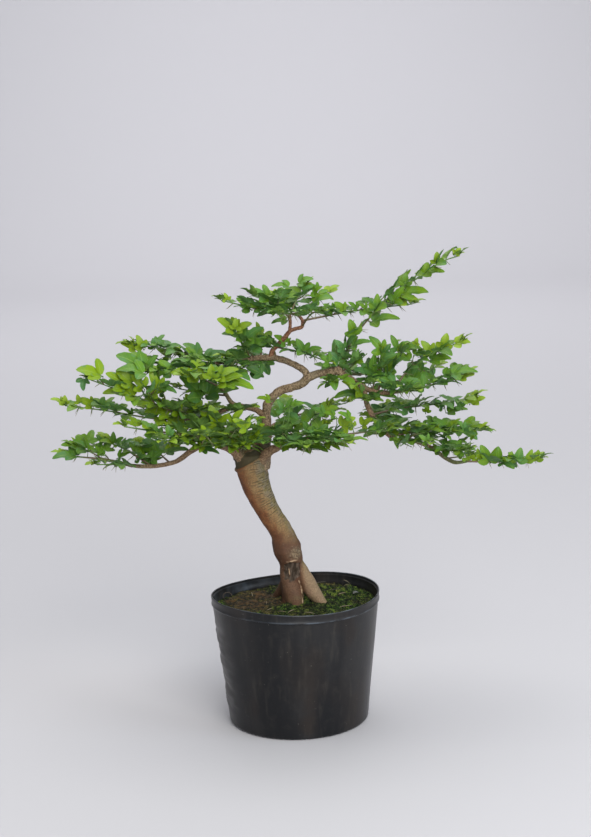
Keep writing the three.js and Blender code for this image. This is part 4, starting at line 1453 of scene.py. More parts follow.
@dataclass
class TreeWood:
    """The living wood: the trunk, its roots and the stubs melted together, and the limbs on them."""

    voxel: float = 1.15
    melted: tuple[str, ...] = ("trunk", "front_root", "right_root", "back_root", "left_stub", "leader")
    rooted: tuple[str, ...] = ("centre_right", "left_front", "left_low", "back_low", "back_low_left")
    rooted_share: float = 0.30
    mark_step: float = 2.0
    cut_place: tuple[float, float] = (-65.0, 326.5)
    cut_slope: float = 0.52
    scar_place: Point = (-3.0, -14.0, 194.0)
    scar_size: tuple[float, float] = (10.5, 13.0)
    scar_lean: float = 0.12
    scar_square: float = 2.6
    knot_place: Point = (5.0, -15.0, 217.0)
    crown_foot: float = 300.0
    block: int = 4000

    def __post_init__(self) -> None:
        """Draws each limb's line and marks places down all of them."""
        self.lines = {name: Line(limb.route) for name, limb in LIMBS.items()}
        rows = []
        for number, (name, line) in enumerate(self.lines.items()):
            share = np.linspace(0.0, 1.0, max(8, int(line.length / self.mark_step)))
            rows.append((
                line.at(share), self.radius(name, share), share * line.length, line.tangent(share),
                np.full(len(share), number)))
        self.places, self.radii, self.runs, self.tangents, self.numbers = map(np.concatenate, zip(*rows))
        self.kinds = np.array([limb.kind.value for limb in LIMBS.values()])
        self.lengths = np.array([line.length for line in self.lines.values()])

    def radius(self, name: str, share: Array) -> Array:
        """The limb's radius at these shares of its length."""
        sizes = np.array([p[3] for p in LIMBS[name].route], float)
        return np.interp(self.lines[name].mark(share), np.linspace(0.0, 1.0, len(sizes)), sizes)

    def limb_tube(self, name: str, upto: float, sides: int, step: float, rough: float) -> Surface:
        """A limb as a tube whose skin swells away from its middle line with noise.

        Args:
            name: the limb.
            upto: the share of it that is made.
            sides: points in a ring.
            step: millimetres from ring to ring.
            rough: how much the skin swells, as a share of the radius.

        Returns:
            The tube.
        """
        line = self.lines[name]
        share = np.linspace(0.0, upto, max(6, int(line.length * upto / step)))
        made = tube(line.at(share), line.tangent(share), self.radius(name, share), sides)
        body = made.points[:-2]
        middle = np.repeat(line.at(share), sides, axis=0)
        swell = 1.0 + rough * noise(body, 6.0, 31.0) + 0.6 * rough * noise(body, 2.6, 32.0)
        made.points[:-2] = middle + (body - middle) * swell[:, None]
        return made

    def nearest(self, points: Array) -> Array:
        """For each point the marked place whose skin lies closest to it.

        Args:
            points: (n, 3) places.

        Returns:
            The numbers of the marked places.
        """
        found = np.empty(len(points), int)
        own = np.sum(self.places ** 2, axis=1)
        for start in range(0, len(points), self.block):
            block = points[start:start + self.block]
            square = np.sum(block ** 2, axis=1)[:, None] + own - 2 * block @ self.places.T
            gap = np.sqrt(np.maximum(square, 0.0)) - self.radii
            found[start:start + self.block] = np.argmin(gap, axis=1)
        return found

    def above_cut(self, points: Array) -> Array:
        """Millimetres above the slanting edge where the trunk was once cut."""
        return points[:, 2] - self.cut_place[1] - self.cut_slope * (points[:, 0] - self.cut_place[0])

    def scar_reach(self, points: Array) -> Array:
        """1 at the edge of the dead patch between the two front roots, and less inside it."""
        x, z = points[:, 0] - self.scar_place[0], points[:, 2] - self.scar_place[2]
        x, z = np.abs((x - self.scar_lean * z) / self.scar_size[0]), np.abs(z / self.scar_size[1])
        reach = (x ** self.scar_square + z ** self.scar_square) ** (1 / self.scar_square)
        return reach + 0.24 * noise(points, 4.0, 41.0)

    def knot(self, points: Array, height: float) -> Array:
        """1 in the middle of the knuckle above the scar, and less away from it."""
        away = (points - np.array(self.knot_place)) / (9.0, 10.0, height)
        return np.exp(-np.sum(away ** 2, axis=1))

    def ridges(self, points: Array) -> tuple[Array, Array]:
        """The pale callus: a streak down the scar, a brow over it and a seam beside the right root.

        Args:
            points: (n, 3) places on the skin.

        Returns:
            The streak alone and all three, each from 0 to 1.
        """
        x, z = points[:, 0], points[:, 2]
        streak = np.exp(-((x + 6.5 + 0.10 * (z - 194)) / 1.1) ** 2 - ((z - 193) / 6.0) ** 4)
        brow = np.exp(-((z - 207.5 - 0.12 * (x + 3)) / 1.6) ** 2 - ((x + 3) / 8.0) ** 4)
        seam = np.exp(-((x - 10.0 + 0.16 * (z - 157) + 0.006 * (z - 168) ** 2) / 1.1) ** 2)
        return streak, np.clip(streak + brow + seam * smooth(z, 186.0, 180.0), 0, 1)

    def cut_wood(self, points: Array, kind: Array) -> Array:
        """1 on the grey wood above the slanting cut, which ends in a ragged edge.

        Args:
            points: (n, 3) places on the skin.
            kind: the bark of the limb that each place is on.

        Returns:
            A value from 0 to 1 for each place.
        """
        x, z = points[:, 0], points[:, 2]
        cut = self.above_cut(points)
        ragged = 2.2 * noise(points, 6.0, 45.0)
        bare = smooth(cut, -1.2, 1.0) * smooth(cut + ragged, 15.0, 11.5)
        bare = bare * (z > self.crown_foot) * (kind != Kind.BRANCH.value)
        return bare * smooth(x - 0.6 * (z - 340), -27.0, -31.0)

    def described(self, points: Array, normals: Array) -> dict[str, Array]:
        """What the bark is like at each point.

        Args:
            points: (n, 3) places on the skin.
            normals: their directions outwards.

        Returns:
            The numbers that the bark reads.
        """
        near = self.nearest(points)
        number = self.numbers[near]
        kind = self.kinds[number]
        trunk, root, branch, twig = (
            (kind == k.value) * 1.0 for k in (Kind.TRUNK, Kind.ROOT, Kind.BRANCH, Kind.TWIG))
        x, z = points[:, 0], points[:, 2]
        right, front, under = normals[:, 0], smooth(-normals[:, 1], 0.05, 0.5), -normals[:, 2]
        along = self.runs[near] + np.sum((points - self.places[near]) * self.tangents[near], axis=1)
        young = np.clip(self.runs[near] / self.lengths[number], 0, 1)
        cut_wood = self.cut_wood(points, kind)
        scar = smooth(self.scar_reach(points), 1.10, 0.75) * front * (z < 240)
        streak, ridge = self.ridges(points)
        ridge = ridge * front * (0.75 + 0.5 * noise(points, 3.0, 46.0))
        knot = self.knot(points, 6.5)
        foot = smooth(z, 172.0, 152.0)
        olive = 0.40 + 0.52 * right + 0.14 * noise(points, 26.0, 42.0)
        olive = olive + 0.12 * smooth(z, 262, 315) - 0.10 * root
        gnarled = (kind == Kind.GNARLED.value) + branch * 0.8 + 0.75 * knot * trunk
        gnarled = gnarled + 0.12 * root * smooth(x, 10, 2)
        # painted shade: darker below 258 mm, least on the low right root and most on the front root
        dusk = smooth(z, 258.0, 222.0) * (1 - smooth(x, 4.0, 14.0) * smooth(z, 214.0, 200.0))
        # painted shade on the undersides of branches and twigs; the cut wood is stained, and the foot
        # near the soil is darker
        stain = cut_wood + 0.28 * foot + 0.3 * (branch + twig) * smooth(under, 0.0, 0.8)
        fresh = branch * smooth(young, 0.55, 1.0) * 0.75 + 0.35 * foot * noise(points, 6.0, 44.0)
        return {
            "along": along,
            "olive": np.clip(olive, 0, 1),
            "ringed": trunk * smooth(along, 118.0, 150.0) * smooth(right, -0.45, 0.2) * (1 - cut_wood),
            "gnarled": np.clip(gnarled, 0, 1) * (1 - 0.5 * cut_wood),
            "scar": np.clip(scar * (1 - streak) + 1.3 * knot * noise(points, 3.2, 43.0), 0, 1),
            "callus": np.clip(ridge * (root + trunk > 0), 0, 1),
            "low": np.clip(smooth(z, 206.0, 190.0) * smooth(x, 4.0, 16.0) * (root + trunk) * 0.9, 0, 1),
            "burr": np.clip(1.25 * knot * front * trunk + 0.5 * knot * noise(points, 4.0, 47.0), 0, 1),
            "dusk": np.clip(dusk * (0.85 + 0.45 * smooth(z, 236.0, 216.0)), 0, 1.3),
            "stain": np.clip(stain, 0, 1),
            "red": np.clip(twig + branch * (1 - smooth(young, 0.3, 0.8)) * 0.25, 0, 1),
            "fresh": np.clip(fresh, 0, 1),
        }

    def heights(self, points: Array, marks: dict[str, Array]) -> Array:
        """How far the bark stands out: lumps, knobs, rings, the knuckle, the sunken scar and its lip.

        Args:
            points: (n, 3) places on the smooth skin.
            marks: what the bark is like there.

        Returns:
            Millimetres along each normal.
        """
        x, z = points[:, 0], points[:, 2]
        kind = self.kinds[self.numbers[self.nearest(points)]]
        calm = np.isin(kind, (Kind.TRUNK.value, Kind.ROOT.value)) * 1.0
        lumps = 0.55 * noise(points, (15.0, 15.0, 22.0), 51.0)
        lumps = lumps + 0.28 * noise(points, (5.0, 5.0, 9.0), 52.0)
        knobs = 0.95 * noise(points, 7.5, 53.0) + 0.50 * noise(points, 3.4, 54.0)
        rings = 0.16 * np.sin(marks["along"] * 1.9 + 2.5 * noise(points, 9.0, 55.0)) * marks["ringed"]
        knuckle = self.knot(points, 9.0) * (0.8 + 2.0 * noise(points, 3.2, 56.0))
        height = calm * lumps + (1 - calm) * knobs + rings + knuckle
        lip = np.exp(-((self.above_cut(points) + 2.0) / 2.2) ** 2) * 0.9 * (z > 315) * (x < -25)
        height += lip - 1.1 * smooth(marks["stain"], 0.5, 0.95) * (z > self.crown_foot)
        sunk = smooth(marks["scar"], 0.35, 1.0) * (1.3 + 0.9 * noise(points, (2.6, 2.6, 8.0), 57.0))
        return height - sunk + marks["callus"]

    def melted_body(self) -> Surface:
        """The trunk, roots, stubs and leader as one skin: tubes, remeshed, smoothed and barked.

        Returns:
            The skin.
        """
        parts = [self.limb_tube(name, 1.0, 30, 2.6, 0.035) for name in self.melted]
        parts += [self.limb_tube(name, self.rooted_share, 20, 2.6, 0.03) for name in self.rooted]
        rough = Surface.join(parts).made("wood_rough", [])
        skin = rough.modifiers.new("skin", "REMESH")
        skin.mode = "VOXEL"
        skin.voxel_size = self.voxel * MM
        bake_modifiers(rough)
        points, faces, edges = read_mesh(rough.data)
        bpy.data.objects.remove(rough)
        points = relaxed(points, edges, 7)
        normals = outward(points, faces)
        marks = self.described(points, normals)
        points = points + normals * self.heights(points, marks)[:, None]
        points = relaxed(points, edges, 1)
        return Surface(points, faces, self.described(points, outward(points, faces)))

    def thin_limbs(self) -> Surface:
        """The other limbs as tubes.

        Returns:
            All of them as one surface.
        """
        parts = []
        for name, limb in LIMBS.items():
            if name not in self.melted:
                rough = 0.14 if limb.kind is Kind.GNARLED else 0.10
                parts.append(self.limb_tube(name, 1.0, 14, 1.7, rough))
        whole = Surface.join(parts)
        whole.values = self.described(whole.points, outward(whole.points, whole.faces))
        return whole

    def build(self) -> None:
        """Joins the melted body and the limbs."""
        whole = Surface.join([self.melted_body(), self.thin_limbs()])
        wood = whole.made("wood_bark", [Bark().material()])
        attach(wood, "root")
        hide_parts("tree_wood")


def mesh_points(mesh: bpy.types.Mesh) -> Array:
    """A mesh's points in millimetres."""
    points = np.empty(3 * len(mesh.vertices))
    mesh.vertices.foreach_get("co", points)
    return points.reshape(-1, 3) / MM


def read_mesh(mesh: bpy.types.Mesh) -> tuple[Array, Array, Array]:
    """What a mesh of quads is made of.

    Args:
        mesh: the mesh.

    Returns:
        Its points in millimetres, its quads and its edges.
    """
    corners = np.empty(len(mesh.loops), int)
    mesh.loops.foreach_get("vertex_index", corners)
    edges = np.empty(2 * len(mesh.edges), int)
    mesh.edges.foreach_get("vertices", edges)
    return mesh_points(mesh), corners.reshape(-1, 4), edges.reshape(-1, 2)


def relaxed(points: Array, edges: Array, rounds: int) -> Array:
    """Points moved towards the mean of their neighbours and then back, which smooths but doesn't shrink.

    Args:
        points: (n, 3) places.
        edges: (m, 2) pairs of neighbours.
        rounds: how often they move.

    Returns:
        The new places.
    """
    count = len(points)
    both = np.concatenate([edges, edges[:, ::-1]])
    neighbours = np.maximum(np.bincount(both[:, 0], minlength=count), 1)
    for _ in range(rounds):
        for factor in (0.55, -0.57):
            total = np.stack([
                np.bincount(both[:, 0], points[both[:, 1], axis], count) for axis in range(3)], axis=1)
            points = points + factor * (total / neighbours[:, None] - points)
    return points


def outward(points: Array, faces: Array) -> Array:
    """The direction outwards at each point: the sum of its faces' cross products.

    Args:
        points: (n, 3) places.
        faces: (m, 4) corners; the last of a triangle's is -1.

    Returns:
        (n, 3) directions.
    """
    first, second, third = (points[faces[:, i]] for i in range(3))
    fourth = np.where(faces[:, 3:] < 0, third, points[faces[:, 3]])
    quads = np.cross(third - first, fourth - second)
    triangles = np.cross(second - first, third - first)
    flat = np.where(faces[:, 3:] < 0, triangles, quads)
    total = np.zeros_like(points)
    for corner in range(4):
        used = faces[:, corner] >= 0
        for axis in range(3):
            total[:, axis] += np.bincount(faces[used, corner], flat[used, axis], len(points))
    return unit(total)


# Leaves, stems and spines


Route = tuple[Point, ...]

# The model's own shoots, by pad: the limb that each leaves, where on it, and the places on its way.
SHOOTS: dict[str, dict[str, tuple[str, float, Route]]] = {
    "apex": {
        "apex_left": ("apex_twig", 0.99, ((-30, -12, 523), (-77, -23, 537))),
        "apex_right": ("apex_twig", 0.87, ((79, 10, 514), (156, 23, 519))),
        "apex_back_right": ("apex_twig", 0.97, ((36, 30, 526), (54, 48, 532))),
        "apex_top": ("apex_fork", 0.99, ((14, 14, 530), (25, 22, 543))),
        "apex_left_top": ("apex_fork", 0.8, ((-16, -8, 530), (-38, -24, 541))),
        "apex_front": ("apex_twig", 0.94, ((6, -36, 520), (-8, -66, 523))),
        "apex_front_right": ("apex_twig", 0.78, ((32, -26, 518), (46, -49, 522))),
        "apex_back": ("apex_fork", 0.62, ((-6, 36, 524), (-13, 64, 529)))},
    "riser": {
        "riser": ("leader", 0.84, (
            (79, -9, 480), (111, -14, 519), (139, -17, 544), (167, -20, 559), (188, -22, 574),
            (209, -24, 581)))},
    "crown": {
        "veil": ("apex_twig", 0.2, ((20, 0, 466), (45, -13, 458))),
        "crown_left": ("left_arm", 0.5, ((-52, -2, 478), (-65, -13, 498))),
        "crown_back": ("left_arm", 0.42, ((-32, 34, 474), (-36, 41, 485))),
        "crown_front": ("left_arm", 0.52, ((-58, -8, 462), (-72, -31, 468)))},
    "upper_left": {
        "upper_back": ("left_arm", 0.72, ((-146, 46, 468), (-195, 54, 476))),
        "upper_end": ("left_arm", 0.99, ((-160, 16, 458), (-193, 10, 464))),
        "upper_front": ("left_arm", 0.66, ((-102, -16, 455), (-123, -56, 453))),
        "upper_mid": ("left_arm", 0.86, ((-136, -10, 452), (-169, -34, 455))),
        "upper_near": ("left_arm", 0.58, ((-70, -26, 448), (-81, -71, 448))),
        "upper_far": ("left_arm", 0.9, ((-126, 56, 456), (-143, 79, 459)))},
    "second_left": {
        "second": ("left_long", 0.9, ((-142, -26, 404), (-186, -46, 428), (-240, -53, 452))),
        "second_back": ("left_mid", 0.98, ((-102, 2, 436), (-129, 6, 443))),
        "second_low": ("left_mid", 0.8, ((-104, 12, 418), (-136, 23, 423))),
        "long": ("left_long", 0.99, ((-165, -8, 392), (-222, -10, 404), (-273, -14, 413)))},
    "left_front": {
        "front_end": ("left_front", 0.99, ((-172, -68, 390), (-196, -79, 397))),
        "front_near": ("left_front", 0.78, ((-138, -84, 380), (-148, -112, 384))),
        "front_mid": ("left_front", 0.55, ((-98, -72, 380), (-100, -106, 388))),
        "front_in": ("left_front", 0.35, ((-68, -52, 380), (-60, -84, 393))),
        "front_back": ("left_front", 0.66, ((-132, -22, 380), (-154, -12, 386)))},
    "left_low": {
        "low_end": ("left_low", 0.99, ((-264, 0, 346), (-281, 0, 349))),
        "low_up": ("left_low", 0.66, ((-206, 16, 350), (-231, 28, 359))),
        "low_front": ("left_low", 0.72, ((-214, -26, 340), (-235, -42, 344))),
        "low_back": ("left_low", 0.54, ((-170, 32, 344), (-191, 54, 348)))},
    "centre": {
        "centre_end": ("centre_right", 0.99, ((96, -62, 378), (117, -65, 380))),
        "centre_near": ("centre_right", 0.84, ((60, -88, 374), (69, -116, 375))),
        "centre_front": ("centre_right", 0.62, ((20, -80, 368), (20, -112, 372))),
        "centre_top": ("centre_right", 0.6, ((28, -24, 386), (50, -16, 401))),
        "centre_in": ("centre_right", 0.42, ((-10, -50, 374), (-4, -80, 386)))},
    "back": {
        "back_end": ("back_low", 0.98, ((46, 90, 380), (74, 100, 384))),
        "back_far": ("back_low", 0.9, ((0, 108, 380), (-4, 129, 384))),
        "back_near": ("back_low", 0.72, ((26, 50, 378), (56, 43, 384))),
        "back_left_end": ("back_low_left", 0.98, ((-164, 84, 382), (-186, 92, 386))),
        "back_left_far": ("back_low_left", 0.7, ((-104, 92, 376), (-101, 117, 380)))},
    "right": {
        "reach": ("right_arm", 0.99, ((190, -22, 428), (217, -24, 435))),
        "lift": ("right_arm", 0.66, ((146, -4, 440), (172, 4, 457), (215, 6, 473))),
        "lift_back": ("right_arm", 0.4, ((122, 10, 444), (139, 20, 461))),
        "reach_front": ("right_arm", 0.6, ((138, -52, 424), (153, -78, 428))),
        "reach_back": ("right_arm", 0.86, ((166, 26, 430), (188, 45, 437))),
        "reach_in": ("leader", 0.95, ((96, -46, 434), (101, -67, 437)))},
    "cascade": {
        "tail": ("cascade", 0.99, ((264, 3, 321), (310, 5, 323))),
        "drop_top": ("cascade", 0.22, ((140, 18, 390), (190, 26, 393), (231, 29, 399))),
        "drop_side": ("cascade", 0.42, ((176, 4, 364), (237, 4, 361))),
        "drop_front": ("cascade", 0.5, ((150, -52, 362), (167, -82, 365))),
        "drop_back": ("cascade", 0.36, ((118, 34, 378), (128, 64, 382))),
        "drop_low": ("cascade", 0.7, ((196, -44, 348), (214, -62, 351))),
        "knot": ("cascade", 0.14, ((96, -36, 410), (95, -48, 412)))},
}

# More shoots in the same form, where the real pads are denser than the model's.
FILLERS: dict[str, dict[str, tuple[str, float, Route]]] = {
    "crown": {
        "crown_in": ("left_arm", 0.30, ((-16, 14, 470), (-22, 4, 478))),
        "crown_out": ("left_arm", 0.47, ((-46, 12, 468), (-52, -2, 474))),
        "crown_mid": ("left_mid", 0.97, ((-76, 6, 440), (-66, 8, 452)))},
    "second_left": {
        "second_tip": ("second", 0.86, ((-226, -50, 452), (-240, -52, 462))),
        "second_in": ("second", 0.42, ((-168, -44, 432), (-176, -52, 446))),
        "second_mid": ("second", 0.30, ((-152, -40, 430), (-166, -50, 438)))},
    "left_front": {
        "front_top": ("left_front", 0.45, ((-84, -34, 382), (-88, -46, 396))),
        "front_over": ("left_mid", 0.35, ((-58, -10, 398), (-62, -32, 402))),
        "front_under": ("left_front", 0.22, ((-62, -30, 364), (-56, -52, 368))),
        "front_stub": ("left_front", 0.12, ((-46, -30, 366), (-38, -44, 378))),
        "front_left": ("left_front", 0.60, ((-106, -52, 384), (-114, -60, 396))),
        "skirt_far": ("left_front", 0.62, ((-120, -66, 372), (-134, -82, 374))),
        "skirt_mid": ("left_front", 0.42, ((-94, -54, 366), (-106, -72, 369))),
        "skirt_near": ("left_front", 0.24, ((-72, -44, 363), (-80, -64, 366))),
        "skirt_in": ("left_front", 0.14, ((-56, -36, 362), (-54, -54, 366))),
        "fold_a": ("left_long", 0.50, ((-112, -22, 402), (-126, -36, 412))),
        "fold_b": ("left_long", 0.80, ((-134, -26, 404), (-152, -42, 412)))},
    "left_low": {"low_tip": ("left_low", 0.97, ((-250, 4, 352), (-268, 6, 358)))},
    "centre": {
        "centre_up": ("centre_right", 0.45, ((2, -26, 370), (8, -18, 378))),
        "centre_left": ("centre_right", 0.30, ((-14, -30, 366), (-20, -36, 376))),
        "centre_low": ("centre_right", 0.50, ((10, -46, 356), (22, -58, 354))),
        "centre_mid": ("centre_right", 0.70, ((34, -44, 374), (44, -40, 382))),
        "skirt_a": ("centre_right", 0.30, ((-18, -44, 366), (-12, -64, 368))),
        "skirt_b": ("centre_right", 0.46, ((2, -56, 366), (8, -78, 369))),
        "skirt_c": ("centre_right", 0.62, ((24, -68, 369), (32, -90, 372))),
        "skirt_d": ("centre_right", 0.80, ((48, -78, 372), (56, -94, 375)))},
    "right": {
        "arm_foot": ("leader", 0.78, ((62, -12, 460), (58, -16, 474))),
        "arm_side": ("leader", 0.86, ((86, -16, 456), (97, -20, 466))),
        "arm_top": ("right_arm", 0.30, ((110, -4, 446), (117, 2, 466))),
        "arm_far": ("right_arm", 0.50, ((132, -2, 448), (145, 4, 468))),
        "arm_under": ("leader", 0.74, ((60, -24, 436), (50, -32, 434)))},
    "cascade": {
        "drop_tip": ("cascade", 0.85, ((206, -6, 331), (220, -14, 334))),
        "drop_over": ("cascade", 0.30, ((128, -32, 376), (150, -38, 378))),
        "drop_mid": ("drop_front", 0.30, ((150, -44, 368), (176, -46, 372))),
        "drop_out": ("cascade", 0.55, ((172, -22, 358), (196, -30, 366))),
        "drop_far": ("cascade", 0.70, ((200, -12, 346), (222, -14, 350)))},
}

# The share of a pad's free places that get a second leaf or a twig; the other pads get FULL.
FULL = 0.75
PAD_FULL = {
    "apex": 0.50, "riser": 0.45, "crown": 0.45, "second_left": 0.50, "upper_left": 0.60,
    "left_low": 0.28, "right": 0.50}

# Gaps between the pads, as the camera sees them on the plane y = 0: from x, to x, from z, to z. Only the
# model's own leaves, its shoots' tips and the leaves of SEEN reach into them.
GAPS = np.array([
    (-7, 83, 396, 418), (63, 90, 348, 372), (-146, -109, 422, 451), (-225, -181, 360, 403),
    (-253, -206, 328, 343), (36, 60, 469, 492), (85, 109, 458, 476), (174, 194, 438, 456),
    (135, 152, 469, 487), (109, 143, 393, 419), (181, 244, 405, 420), (215, 249, 336, 354),
    (227, 253, 363, 383), (123, 185, 335, 352), (11, 30, 451, 474), (-42, -28, 490, 504),
    (147, 165, 519, 534), (45, 63, 537, 550), (14, 36, 334, 346), (-262, -214, 456, 479),
    (-182, -151, 431, 444)])

# Limbs that carry side twigs: the twigs' pad, and the shares of the limb between which they grow.
TWIGGED: dict[str, tuple[str, float, float]] = {
    "left_arm": ("upper_left", 0.45, 1.0), "left_front": ("left_front", 0.30, 1.0),
    "centre_right": ("centre", 0.30, 1.0), "right_arm": ("right", 0.20, 1.0),
    "left_low": ("left_low", 0.55, 1.0), "left_long": ("second_left", 0.3, 1.0),
    "back_right": ("back", 0.3, 1.0), "back_left": ("back", 0.4, 1.0), "back_low": ("back", 0.4, 1.0),
    "back_low_left": ("back", 0.4, 1.0), "cascade": ("cascade", 0.20, 0.62),
}

